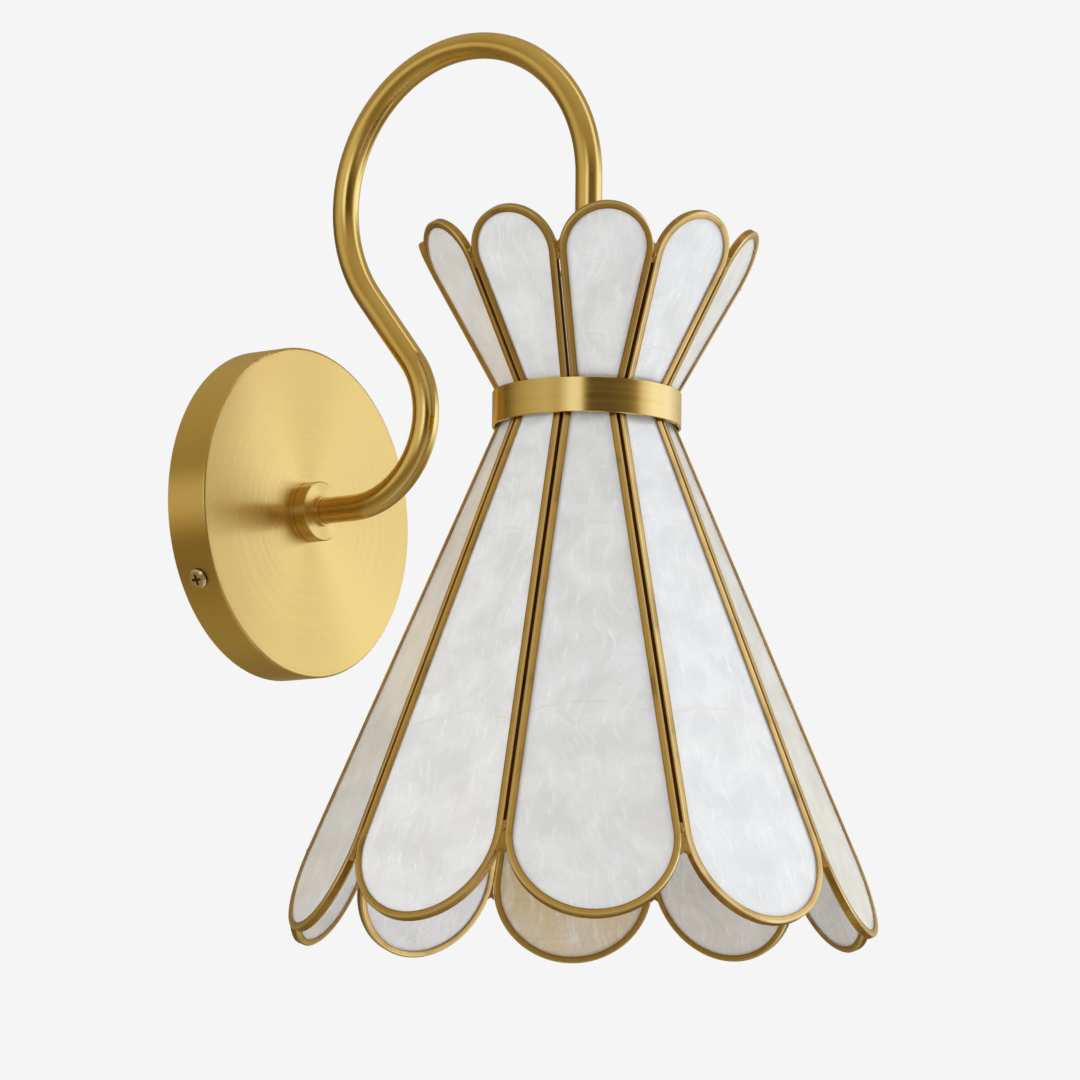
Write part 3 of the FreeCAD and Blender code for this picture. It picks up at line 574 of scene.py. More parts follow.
@dataclass(frozen=True)
class PetalBrass:
    """Antiqued brass of one petal's frame: brown on the faces, with painted shade on the side walls,
    wear and painted highlight on the chamfers, a painted highlight line along the outer edge and
    a painted shadow by the shell.

    Each pair of a highlight or shadow stretch holds two distances in from the outline, between which
    the painted highlight sets in, the painted highlight fades or the painted shadow sets in.
    """

    name: str
    axes: Matrix
    ring: PetalRing
    seed: float
    face: Colour = srgb(232, 189, 110)
    # Darker brass for the side walls: painted shade.
    side: Colour = srgb(190, 144, 70)
    # Bright brass for wear and grain, and for the painted highlights on the chamfers and outer edge.
    rubbed_and_highlight: Colour = srgb(252, 230, 168)
    # Colour of the random stains, and of the painted shadow by the shell.
    stain_and_shadow: Colour = srgb(110, 74, 32)
    cloud: float = 60.0
    grain: float = 900.0
    grain_stretch: tuple[float, float, float] = (1.0, 0.08, 1.0)
    stain_share: float = 0.55
    grain_share: float = 0.25
    chamfer_wear_and_highlight_share: float = 0.9
    shaded_share: float = 0.5
    highlight_line_share: float = 0.75
    half_seam: float = 0.8 * MM
    # Where the painted highlight line along the outer edge sets in and fades.
    highlight_from: tuple[float, float] = (0.25 * MM, 0.4 * MM)
    highlight_to: tuple[float, float] = (0.75 * MM, 1.0 * MM)
    # Where the painted shadow by the shell sets in.
    shaded_from: tuple[float, float] = (1.7 * MM, 2.3 * MM)

    def make(self) -> bpy.types.Material:
        """Builds the material from how far the surface faces the petal's front, with painted shade on the
        side walls, wear and painted highlights on the chamfers and outer edge, and a painted shadow by the
        shell.

        Returns:
            The material.
        """
        g = Graph(self.name)
        where = g.local(self.axes)
        steep = g.math("ABSOLUTE", g.along(g.facing(), self.axes.to_3x3().col[2]))
        chamfer = g.band(steep, (0.15, 0.45), (0.8, 0.97))
        flat = g.range(steep, 0.85, 0.97)
        seeded = g.vector("ADD", where, (self.seed, self.seed * 0.7, 0))
        grain = g.noise(g.scaled(seeded, self.grain_stretch), self.grain, 3)
        cloud = g.noise(seeded, self.cloud, 4, 0.4)
        inward = self.edge_distance(g, where)
        # Painted highlight line along the front face's outer edge.
        wear_and_highlight = g.times(g.band(inward, self.highlight_from, self.highlight_to), flat)
        # Painted shadow on the front face's inner edge, by the shell.
        shaded = g.times(g.range(inward, *self.shaded_from, 0, self.shaded_share), flat)
        # Painted shade: side walls take the darker brass, front faces the lighter.
        colour = g.blend(g.range(steep, 0.4, 0.9), self.side, self.face)
        colour = g.blend(g.range(cloud, 0.5, 0.78, 0, self.stain_share), colour, self.stain_and_shadow)
        colour = g.blend(g.range(grain, 0.3, 0.8, 0, self.grain_share), colour, self.rubbed_and_highlight)
        # Chamfers lighten: wear and painted highlight.
        colour = g.blend(g.times(chamfer, self.chamfer_wear_and_highlight_share), colour, self.rubbed_and_highlight)
        # Lays the painted shadow on.
        colour = g.blend(shaded, colour, self.stain_and_shadow)
        # Lays the painted highlight line on the front face.
        colour = g.blend(g.times(wear_and_highlight, self.highlight_line_share), colour, self.rubbed_and_highlight)
        g.shade(
            Base_Color=colour,
            Metallic=1.0,
            Roughness=g.range(cloud, 0.3, 0.8, 0.3, 0.46),
            Coat_Weight=0.15,
            Coat_Roughness=0.2,
        )
        g.bump(grain, 0.12, 0.06 * MM)
        return g.material

    def edge_distance(self, g: Graph, where: Socket) -> Socket:
        """Gives how far a point lies inside the outline, by its straight sides and its round tip.

        Args:
            g: The material's graph.
            where: The point's place in the petal's axes.

        Returns:
            The distance's socket, in metres.
        """
        ring = self.ring
        sector = math.tan(math.pi / ring.count)
        lean = math.sin(math.radians(ring.lean))
        slope = math.atan(lean * sector)
        x, y, _ = g.split(where)
        half = g.math("MULTIPLY_ADD", y, lean * sector, ring.foot_radius * sector - self.half_seam)
        beside = g.times(g.math("SUBTRACT", half, g.math("ABSOLUTE", x)), math.cos(slope))
        centred = g.vector("SUBTRACT", where, (0.0, ring.reach, 0.0))
        level = g.scaled(centred, (1.0, 1.0, 0.0))
        round_tip = g.math("SUBTRACT", ring.tip_radius, g.length(level))
        past = g.math("GREATER_THAN", y, ring.reach - ring.tip_radius * math.sin(slope))
        extra = g.times(past, g.math("SUBTRACT", round_tip, beside))
        return g.math("ADD", beside, extra)


@dataclass(frozen=True)
class CapizShell:
    """Pearly shell of one petal: cloudy grey-white, with fine fibres and the seams of its discs.

    Fields such as cloud and fibre are noise scales, a larger one for a finer pattern. The pairs of
    crack and growth shares are what the inner side adds and what the front shows.
    """

    name: str
    axes: Matrix
    seed: float
    warmth: float
    discs: tuple[float, ...]
    light: Colour = srgb(234, 236, 238)
    shade: Colour = srgb(219, 221, 222)
    cream: Colour = srgb(230, 215, 186)
    ochre: Colour = srgb(220, 194, 144)
    vein: Colour = srgb(252, 252, 252)
    crack: Colour = srgb(186, 180, 172)
    seam: Colour = srgb(204, 190, 168)
    cloud: float = 75.0
    patch: float = 22.0
    fibre: float = 650.0
    fibre_stretch: tuple[float, float, float] = (1.0, 0.16, 1.0)
    paper: float = 1100.0
    flow: float = 30.0
    flow_width: tuple[float, float] = (22 * MM, 8 * MM)
    glint: float = 520.0
    glint_turn: float = 0.25
    glint_stretch: tuple[float, float, float] = (1.0, 0.2, 1.0)
    crazing: float = 130.0
    growth: float = 26.0
    growth_waves: float = 170.0
    glint_patch: float = 48.0
    crazing_patch: float = 36.0
    seam_patch: float = 90.0
    wander: float = 60.0
    wander_width: float = 6 * MM
    fibre_share: float = 0.4
    paper_share: float = 0.3
    glint_share: float = 0.7
    seam_share: float = 0.24
    crack_shares: tuple[float, float] = (0.35, 0.12)
    growth_shares: tuple[float, float] = (0.1, 0.03)
    disc_bow: float = -9.0
    seam_width: tuple[float, float] = (0.1 * MM, 0.7 * MM)

    def make(self) -> bpy.types.Material:
        """Builds the material in the petal's own axes.

        Returns:
            The material.
        """
        g = Graph(self.name)
        where = g.local(self.axes)
        seeded = g.vector("ADD", where, (self.seed, self.seed * 1.7, 0))
        warped = self.warp(g, seeded)
        cloud = g.noise(warped, self.cloud, 9, 0.5)
        fibre = g.noise(g.scaled(warped, self.fibre_stretch), self.fibre, 3)
        glints = self.glints(g, seeded)
        inside = self.inner_side(g)
        colour = g.blend(g.range(cloud, 0.32, 0.7), self.shade, self.light)
        colour = self.warmed(g, colour, seeded, inside)
        colour = g.blend(g.range(fibre, 0.5, 0.75, 0, self.fibre_share), colour, self.vein)
        paper = g.noise(seeded, self.paper, 3)
        colour = g.blend(g.range(paper, 0.35, 0.65, 0, self.paper_share), colour, self.shade)
        colour = g.blend(g.times(glints, self.glint_share), colour, self.vein)
        for lines, (more_inside, in_front) in (
            (self.cracks(g, warped), self.crack_shares),
            (self.growth_lines(g, warped), self.growth_shares),
        ):
            share = g.times(lines, g.math("MULTIPLY_ADD", inside, more_inside, in_front))
            colour = g.blend(share, colour, self.crack)
        colour = g.blend(g.times(self.seams(g, where), self.seam_share), colour, self.seam)
        g.shade(
            Base_Color=colour,
            Roughness=g.range(cloud, 0.3, 0.75, 0.3, 0.45),
            Subsurface_Weight=0.3,
            Subsurface_Radius=(3 * MM, 2.7 * MM, 2.4 * MM),
            Subsurface_Scale=1.0,
            Coat_Weight=0.8,
            Coat_Roughness=0.24,
            Coat_IOR=1.6,
            Sheen_Weight=0.05,
        )
        g.bump(g.weighted(glints, fibre, 0.5), 0.1, 0.08 * MM)
        return g.material

    def warmed(self, g: Graph, colour: Socket, where: Socket, inside: Socket) -> Socket:
        """Lays cream patches on the colour, and ochre ones on the inner side.

        Args:
            g: The material's graph.
            colour: The colour so far.
            where: The point's seeded place.
            inside: 1 on the inner side.

        Returns:
            The warmer colour's socket.
        """
        patches = g.noise(where, self.patch, 3)
        cream = g.range(patches, 0.42, 0.75, self.warmth * 0.25, self.warmth)
        ochre = g.times(g.range(patches, 0.3, 0.7, self.warmth * 0.4, self.warmth), inside)
        return g.blend(ochre, g.blend(cream, colour, self.cream), self.ochre)

    def warp(self, g: Graph, where: Socket) -> Socket:
        """Bends a place by a slow cloud, so that the fibres flow.

        Args:
            g: The material's graph.
            where: The place.

        Returns:
            The bent place's socket.
        """
        flow = g.noise(where, self.flow, 2)
        sideways, lengthways = (g.times(flow, width) for width in self.flow_width)
        return g.vector("ADD", where, g.join(sideways, lengthways))

    def inner_side(self, g: Graph) -> Socket:
        """Gives 1 on the shell's side that faces into the shade, and 0 in front."""
        return g.range(g.along(g.facing(), self.axes.to_3x3().col[2]), -0.2, 0.2, 1, 0)

    def glints(self, g: Graph, where: Socket) -> Socket:
        """Gives short bright scratches, in patches and a little off the petal's length.

        Args:
            g: The material's graph.
            where: The point's seeded place.

        Returns:
            The scratches' socket.
        """
        streak = g.noise(g.slanted(where, self.glint_turn, self.glint_stretch), self.glint, 2, 0.6)
        patch = g.noise(where, self.glint_patch, 2)
        return g.times(g.range(streak, 0.64, 0.74), g.range(patch, 0.5, 0.66))

    def cracks(self, g: Graph, where: Socket) -> Socket:
        """Gives fine crazing lines, where a cloud crosses its middle level.

        Args:
            g: The material's graph.
            where: The point's warped place.

        Returns:
            The lines' socket.
        """
        level = g.math("ABSOLUTE", g.math("SUBTRACT", g.noise(where, self.crazing, 4, 1.5), 0.5))
        patch = g.noise(where, self.crazing_patch, 2)
        return g.times(g.range(level, 0.0, 0.02, 1, 0), g.range(patch, 0.45, 0.62))

    def growth_lines(self, g: Graph, where: Socket) -> Socket:
        """Gives the shell's wavy growth lines, thin and close together."""
        swirl = g.noise(where, self.growth, 2, 0.8)
        return g.range(g.math("SINE", g.times(swirl, self.growth_waves)), 0.5, 1.0)

    def seams(self, g: Graph, where: Socket) -> Socket:
        """Gives the faint arcs where one disc of shell laps over the next.

        Args:
            g: The material's graph.
            where: The point's place in the petal's axes.

        Returns:
            The arcs' socket.
        """
        x, y, _ = g.split(where)
        wander = g.times(g.noise(where, self.wander, 3), self.wander_width)
        bow = g.times(g.times(x, x), self.disc_bow)
        found = None
        for rise in self.discs:
            level = g.math("ADD", g.math("SUBTRACT", y, rise), g.math("ADD", bow, wander))
            line = g.range(g.math("ABSOLUTE", level), *self.seam_width, 1, 0)
            found = line if found is None else g.math("MAXIMUM", found, line)
        patch = g.noise(where, self.seam_patch, 2)
        return g.times(found, g.range(patch, 0.35, 0.6))


@dataclass(frozen=True)
class PlainMetal:
    """A metal with a mottled gloss, such as zinc plate or solder."""

    name: str
    light: Colour
    dark: Colour
    roughness: float = 0.35
    spread: float = 0.08
    grain: float = 300.0
    grains_in_patch: float = 6.0

    def make(self) -> bpy.types.Material:
        """Builds the material from two sizes of cloud.

        Returns:
            The material.
        """
        g = Graph(self.name)
        cloud = g.noise(g.place(), self.grain, 5, 0.4)
        tint = g.weighted(cloud, g.noise(g.place(), self.grain / self.grains_in_patch, 3), 0.5)
        g.shade(
            Base_Color=g.ramp(tint, [(0.3, self.dark), (0.7, self.light)]),
            Metallic=1.0,
            Roughness=g.range(tint, 0.3, 0.7, self.roughness - self.spread, self.roughness + self.spread),
        )
        g.bump(cloud, 0.1, 0.05 * MM)
        return g.material


@dataclass(frozen=True)
class Moulded:
    """A moulded or painted surface with a fine orange-peel skin."""

    name: str
    light: Colour
    dark: Colour
    roughness: float = 0.3
    spread: float = 0.05
    through: float = 0.0
    cloud: float = 120.0
    peel: float = 900.0

    def make(self) -> bpy.types.Material:
        """Builds the material, with light passing into it where it is translucent.

        Returns:
            The material.
        """
        g = Graph(self.name)
        cloud = g.noise(g.place(), self.cloud, 3)
        peel = g.noise(g.place(), self.peel, 2)
        g.shade(
            Base_Color=g.ramp(cloud, [(0.35, self.dark), (0.65, self.light)]),
            Roughness=g.range(peel, 0.3, 0.7, self.roughness - self.spread, self.roughness + self.spread),
            Subsurface_Weight=self.through,
            Subsurface_Radius=(4 * MM, 4 * MM, 4 * MM),
            Subsurface_Scale=1.0,
            Coat_Weight=0.2,
            Coat_Roughness=0.1,
        )
        g.bump(peel, 0.05, 0.03 * MM)
        return g.material


def dress(node: str, material: bpy.types.Material) -> None:
    """Gives a CAD node one material all over.

    Args:
        node: The node's name.
        material: Its finish.
    """
    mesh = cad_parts[node].data
    mesh.materials.clear()
    mesh.materials.append(material)
    LOG.info("dressed %s in %s", node, material.name)


@dataclass(frozen=True)
class Shade:
    """The two rings of petals, each petal with its own brass and shell."""

    rings: tuple[PetalRing, ...] = (SKIRT, CROWN)
    warm_petals: dict[tuple[Tier, int], float] = field(
        default_factory=lambda: {
            (Tier.SKIRT, 1): 0.0,
            (Tier.SKIRT, 3): 0.35,
            (Tier.SKIRT, 4): 1.0,
            (Tier.SKIRT, 7): 0.6,
            (Tier.CROWN, 1): 0.0,
            (Tier.CROWN, 2): 0.5,
            (Tier.CROWN, 7): 0.75,
        }
    )
    usual_warmth: float = 0.12

    def dress(self) -> None:
        """Dresses every petal, no two alike."""
        for ring in self.rings:
            for number in range(1, ring.count + 1):
                self.dress_petal(ring, number)

    def dress_petal(self, ring: PetalRing, number: int) -> None:
        """Dresses one frame and its shell.

        Args:
            ring: The petal's ring.
            number: The petal's number, from 1.
        """
        label = f"{number:02d}"
        tier = ring.tier.value
        axes = ring.axes(number)
        seed = number * 1.37 + (5.1 if ring.tier is Tier.CROWN else 0.0)
        warmth = self.warm_petals.get((ring.tier, number), self.usual_warmth)
        dress(f"{tier}_frame_{label}", PetalBrass(f"{tier}_brass_{label}", axes, ring, seed).make())
        shell = CapizShell(f"{tier}_capiz_{label}", axes, seed, warmth, self.disc_seams(ring, number))
        dress(f"{tier}_shell_{label}", shell.make())

    def disc_seams(self, ring: PetalRing, number: int) -> tuple[float, ...]:
        """Gives how far from the foot the discs of a petal's shell lap, a little apart on each petal.

        Args:
            ring: The petal's ring.
            number: The petal's number, from 1.

        Returns:
            The laps' distances from the foot.
        """
        sway = 3 * MM * math.sin(number)
        if ring.tier is Tier.CROWN:
            return (ring.reach * 0.45 + sway,)
        return (ring.reach * 0.30 + sway, ring.reach * 0.74 + 4 * MM * math.cos(number))


class Bench:
    """The hand tools every modelled piece is made with.

    A grid of size 1 waits with its rows from ROW_START to ROW_START + 1, far from the piece's own
    size, until each row is moved to its place.
    """

    ROW_START = 2.0
    ROW_TOUCH = 0.01

    @staticmethod
    def take(name: str) -> bpy.types.Object:
        """Names the piece that a primitive has just put on the bench."""
        bpy.context.object.name = name
        return bpy.context.object

    @staticmethod
    def clear() -> None:
        """Lets go of everything, so that the next tool meets one piece."""
        bpy.ops.object.select_all(action="DESELECT")

    @staticmethod
    def points(piece: bpy.types.Object, test: Callable[[Vector], bool]) -> None:
        """Selects a piece's points by where they lie, and leaves it in edit mode.

        Args:
            piece: The piece on the bench.
            test: Says of a point whether it is selected.
        """
        bpy.context.view_layer.objects.active = piece
        bpy.ops.object.mode_set(mode="EDIT")
        bpy.ops.mesh.select_mode(type="VERT")
        bpy.ops.mesh.select_all(action="DESELECT")
        bpy.ops.object.mode_set(mode="OBJECT")
        for point in piece.data.vertices:
            point.select = test(point.co)
        bpy.ops.object.mode_set(mode="EDIT")

    @staticmethod
    def all_points(piece: bpy.types.Object) -> None:
        """Selects the whole piece, and leaves it in edit mode."""
        Bench.points(piece, lambda point: True)

    @staticmethod
    def row(piece: bpy.types.Object, share: float) -> float:
        """Selects a waiting row of a grid.

        Args:
            piece: The grid.
            share: The row's place, 0 to 1 up the grid.

        Returns:
            The row's y.
        """
        start = Bench.ROW_START + share
        Bench.points(piece, lambda point: abs(point.y - start) < Bench.ROW_TOUCH)
        return start

    @staticmethod
    def move(step: tuple[float, float, float]) -> None:
        """Moves what is selected."""
        bpy.ops.transform.translate(value=step)

    @staticmethod
    def widen(share: tuple[float, float, float], centre: tuple[float, float, float] = (0, 0, 0)) -> None:
        """Scales what is selected about a centre."""
        bpy.ops.transform.resize(value=share, center_override=centre)

    @staticmethod
    def draw_out(step: tuple[float, float, float]) -> None:
        """Extrudes what is selected and moves the new part."""
        bpy.ops.mesh.extrude_region_move(TRANSFORM_OT_translate={"value": step})

    @staticmethod
    def close(piece: bpy.types.Object, smooth_angle: float) -> None:
        """Turns all faces outwards, leaves edit mode and shades the piece.

        Args:
            piece: The piece on the bench.
            smooth_angle: The bend, in degrees, past which an edge stays sharp.
        """
        bpy.ops.object.mode_set(mode="EDIT")
        bpy.ops.mesh.select_all(action="SELECT")
        bpy.ops.mesh.normals_make_consistent(inside=False)
        bpy.ops.object.mode_set(mode="OBJECT")
        Bench.clear()
        piece.select_set(True)
        bpy.context.view_layer.objects.active = piece
        bpy.ops.object.shade_smooth_by_angle(angle=math.radians(smooth_angle))

    @staticmethod
    def copy(piece: bpy.types.Object, axes: Matrix) -> bpy.types.Object:
        """Sets down a copy of a piece, with a mesh of its own.

        Args:
            piece: The master piece.
            axes: The axes that the copy stands in.

        Returns:
            The copy.
        """
        twin = piece.copy()
        twin.data = piece.data.copy()
        bpy.context.scene.collection.objects.link(twin)
        twin.matrix_world = axes
        return twin

    @staticmethod
    def join(pieces: list[bpy.types.Object], name: str) -> bpy.types.Object:
        """Bakes the pieces' places into their meshes and joins them into one object at the origin.

        Args:
            pieces: The pieces, one or more.
            name: The joined piece's name.

        Returns:
            The joined piece.
        """
        Bench.clear()
        for piece in pieces:
            piece.select_set(True)
        bpy.context.view_layer.objects.active = pieces[0]
        bpy.ops.object.transform_apply(location=True, rotation=True, scale=True)
        if len(pieces) > 1:
            bpy.ops.object.join()
        joined = Bench.take(name)
        joined.data.name = name
        return joined

    @staticmethod
    def discard(piece: bpy.types.Object) -> None:
        """Takes a master piece off the bench once its copies are set.

        Args:
            piece: The master piece.
        """
        mesh = piece.data
        bpy.data.objects.remove(piece)
        bpy.data.meshes.remove(mesh)


@dataclass(frozen=True)
class Finished:
    """A finished piece: its object, what it rides on, its finish slot and the nodes it stands for."""

    piece: bpy.types.Object
    body: str
    slot: str
    nodes: tuple[str, ...]

    def deliver(self) -> None:
        """Hands the piece to the frame."""
        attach(self.piece, self.body)
        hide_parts(*self.nodes)
        LOG.info("modelled %s: %d faces", self.piece.name, len(self.piece.data.polygons))


@dataclass(frozen=True)
class SolderSeams:
    """The webs of solder that fill the seams where two petals' round ends part, each with its bead."""

    seam_gap: float = 1.6 * MM
    clearance: float = 0.04 * MM
    thinnest: float = 0.08 * MM
    front: float = 0.7 * MM
    rear: float = 2.3 * MM
    rise: float = 2.5 * MM
    lengths: tuple[tuple[PetalRing, float], ...] = ((SKIRT, 8.8 * MM), (CROWN, 4.6 * MM))
    rows: int = 10
    columns: int = 6
    end_row: float = 1.3 * MM
    hollow: tuple[tuple[float, float], ...] = ((0.9, 0.35 * MM), (0.55, 0.45 * MM), (0.2, 0.3 * MM))
    bead_radius: float = 0.75 * MM
    bead_shape: tuple[float, float, float] = (0.85, 1.7, 0.6)
    bead_place: tuple[float, float, float] = (0, 0.1 * MM, -0.55 * MM)
    tail_start: float = -0.5 * MM
    tail_shape: tuple[float, float, float] = (0.55, 1.0, 0.7)

    def seam_axes(self, ring: PetalRing, number: int) -> Matrix:
        """Gives the axes of the seam after a petal: x across, y along it, z outwards.

        Args:
            ring: The petals' ring.
            number: The petal's number, from 1.

        Returns:
            The 4x4 matrix from the seam's own axes to the frame.
        """
        half = math.pi / ring.count
        turn = ring.turn(number) + half
        lean = math.radians(ring.lean)
        out = Vector((math.sin(turn), -math.cos(turn), 0))
        slant = out * (math.sin(lean) / math.cos(half)) + Z_AXIS * (ring.upward * math.cos(lean))
        slope = math.atan(math.sin(lean) * math.tan(half))
        corner = SHADE_CENTRE + out * (ring.foot_radius / math.cos(half))
        corner = corner + slant * (ring.reach - ring.tip_radius * math.sin(slope))
        along = slant.normalized()
        normal = (out - along * along.dot(out)).normalized()
        across = along.cross(normal)
        turned = Matrix((across, along, normal)).transposed().to_4x4()
        return Matrix.Translation(corner) @ turned

    def half_width(self, ring: PetalRing, along: float, depth: float) -> float:
        """Gives half the gap between two frames.

        Args:
            ring: The petals' ring.
            along: How far past the parting point.
            depth: How far behind the frames' front.

        Returns:
            Half the gap's width, less the clearance.
        """
        spread = max(along, 0.0) ** 2 / (2 * ring.tip_radius)
        flare = math.cos(math.radians(ring.lean)) * math.sin(math.pi / ring.count)
        half = self.seam_gap / 2 * math.cos(math.pi / ring.count) + spread - depth * flare
        return max(half - self.clearance, self.thinnest)

    def web(self, ring: PetalRing, length: float) -> bpy.types.Object:
        """Models one web flat on the bench, from a grid whose rows are drawn to the gap's width.

        Args:
            ring: The petals' ring.
            length: How far the web runs past the parting point.

        Returns:
            The web.
        """
        Bench.clear()
        bpy.ops.mesh.primitive_grid_add(x_subdivisions=self.columns, y_subdivisions=self.rows, size=1)
        web = Bench.take(f"{ring.tier.value}_web")
        Bench.all_points(web)
        Bench.move((0, Bench.ROW_START + 0.5, 0))
        places = [-self.rise + (length + self.rise) * row / self.rows for row in range(self.rows + 1)]
        for row, goal in enumerate(places):
            start = Bench.row(web, row / self.rows)
            Bench.widen((2 * self.half_width(ring, goal, self.front), 1, 1))
            Bench.move((0, goal - start, 0))
        self.hollow_end(web, ring, length)
        Bench.all_points(web)
        Bench.draw_out((0, 0, self.front - self.rear))
        reach = 0.5 * (length + self.rise) / self.rows
        for goal in places:
            share = self.half_width(ring, goal, self.rear) / self.half_width(ring, goal, self.front)
            Bench.points(web, lambda point: point.z < -MM and goal - reach <= point.y < goal + reach)
            Bench.widen((share, 1, 1))
        Bench.all_points(web)
        Bench.move((0, 0, -self.front))
        Bench.close(web, 50)
        return web

    def hollow_end(self, web: bpy.types.Object, ring: PetalRing, length: float) -> None:
        """Draws the web's free end back in the middle, as solder does between two round rods.

        Args:
            web: The web, flat.
            ring: The petals' ring.
            length: The web's length past the parting point.
        """
        wide = self.half_width(ring, length, self.front)
        for share, back in self.hollow:
            Bench.points(web, lambda point: point.y > length - self.end_row and abs(point.x) < wide * share)
            Bench.move((0, -back, 0))

    def bead(self, ring: PetalRing) -> bpy.types.Object:
        """Models the small bead left at the front of the parting point, drawn out along the seam.

        Args:
            ring: The petals' ring.

        Returns:
            The bead.
        """
        Bench.clear()
        bpy.ops.mesh.primitive_uv_sphere_add(segments=18, ring_count=10, radius=self.bead_radius)
        bead = Bench.take(f"{ring.tier.value}_bead")
        Bench.all_points(bead)
        Bench.widen(self.bead_shape)
        Bench.points(bead, lambda point: point.y < self.tail_start)
        Bench.widen(self.tail_shape)
        Bench.all_points(bead)
        Bench.move(self.bead_place)
        Bench.close(bead, 80)
        return bead

    def build(self, material: bpy.types.Material) -> Finished:
        """Models a web and a bead for each ring and sets a copy of both in every seam.

        Args:
            material: The solder's finish.

        Returns:
            The finished seams, one object.
        """
        copies = []
        for ring, length in self.lengths:
            masters = (self.web(ring, length), self.bead(ring))
            for number in range(1, ring.count + 1):
                axes = self.seam_axes(ring, number)
                copies.extend(Bench.copy(master, axes) for master in masters)
            for master in masters:
                Bench.discard(master)
        seams = Bench.join(copies, "solder_seams")
        seams.data.materials.append(material)
        return Finished(seams, FIXTURE, "solder", ("solder_joints",))


@dataclass(frozen=True)
class ThreadedShell:
    """A thin shell of rolled sheet with a round thread, such as a bulb's cap or its holder's sleeve."""

    name: str
    crest: float
    depth: float
    low: float
    high: float
    pitch: float = 2.82 * MM
    profile_steps: int = 10
    turn_steps: int = 48
    weld: float = 0.02 * MM
    touch: float = 0.01 * MM

    def roll(self) -> bpy.types.Object:
        """Rolls the thread: one wave of sheet, screwed up the axis and cut square at both ends.

        Returns:
            The shell, open at both ends.
        """
        shell = self.wave()
        screw = shell.modifiers.new("thread", "SCREW")
        screw.axis = "Z"
        screw.screw_offset = self.pitch
        screw.iterations = math.ceil((self.high - self.low) / self.pitch) + 2
        screw.steps = self.turn_steps
        screw.render_steps = self.turn_steps
        screw.use_merge_vertices = True
        screw.merge_threshold = self.touch
        screw.use_normal_calculate = True
        bpy.ops.object.modifier_apply(modifier="thread")
        Bench.all_points(shell)
        bpy.ops.mesh.remove_doubles(threshold=self.weld)
        Bench.move((0, 0, self.low - 1.5 * self.pitch))
        self.cut(shell, self.low, False)
        self.cut(shell, self.high, True)
        return shell

    def wave(self) -> bpy.types.Object:
        """Models one wave of the thread's profile, from the one edge that is left of a grid.

        Returns:
            The wave, in object mode.
        """
        Bench.clear()
        bpy.ops.mesh.primitive_grid_add(x_subdivisions=1, y_subdivisions=self.profile_steps, size=1)
        shell = Bench.take(self.name)
        Bench.points(shell, lambda point: point.x > 0)
        bpy.ops.mesh.delete(type="VERT")
        Bench.all_points(shell)
        Bench.move((0.5, Bench.ROW_START + 0.5, 0))
        for step in range(self.profile_steps + 1):
            share = step / self.profile_steps
            start = Bench.row(shell, share)
            hollow = self.depth * (0.5 + 0.5 * math.cos(2 * math.pi * share))
            Bench.move((self.crest - hollow, -start, self.pitch * share))
        bpy.ops.object.mode_set(mode="OBJECT")
        return shell

    def cut(self, shell: bpy.types.Object, level: float, above: bool) -> None:
        """Cuts the shell off square.

        Args:
            shell: The shell.
            level: The cut's height.
            above: Whether what lies above it goes, and not what lies below.
        """
        Bench.all_points(shell)
        bpy.ops.mesh.bisect(
            plane_co=(0, 0, level),
            plane_no=(0, 0, 1),
            clear_outer=above,
            clear_inner=not above,
        )

    def even_rim(self, shell: bpy.types.Object, level: float, step: float, share: float) -> None:
        """Draws a wavy cut edge on into a plain round one.

        Args:
            shell: The shell.
            level: The cut edge's height.
            step: How much further along the round edge lies.
            share: The round edge's scale.
        """
        Bench.points(shell, lambda point: abs(point.z - level) < self.touch)
        Bench.draw_out((0, 0, step))
        bpy.ops.transform.tosphere(value=1.0)
        Bench.widen((share, share, 1.0), (0, 0, level + step))

    def lips(self, *steps: tuple[float, float]) -> None:
        """Draws the selected round edge on, by a step and a scale at a time."""
        for step, share in steps:
            Bench.draw_out((0, 0, step))
            Bench.widen((share, share, 1.0))

    def settle(self, shell: bpy.types.Object) -> bpy.types.Object:
        """Closes the shell and sets it on the shade's axis.

        Args:
            shell: The shell.

        Returns:
            The shell, in its place.
        """
        Bench.close(shell, 50)
        shell.location = (SHADE_CENTRE.x, SHADE_CENTRE.y, 0)
        return Bench.join([shell], self.name)


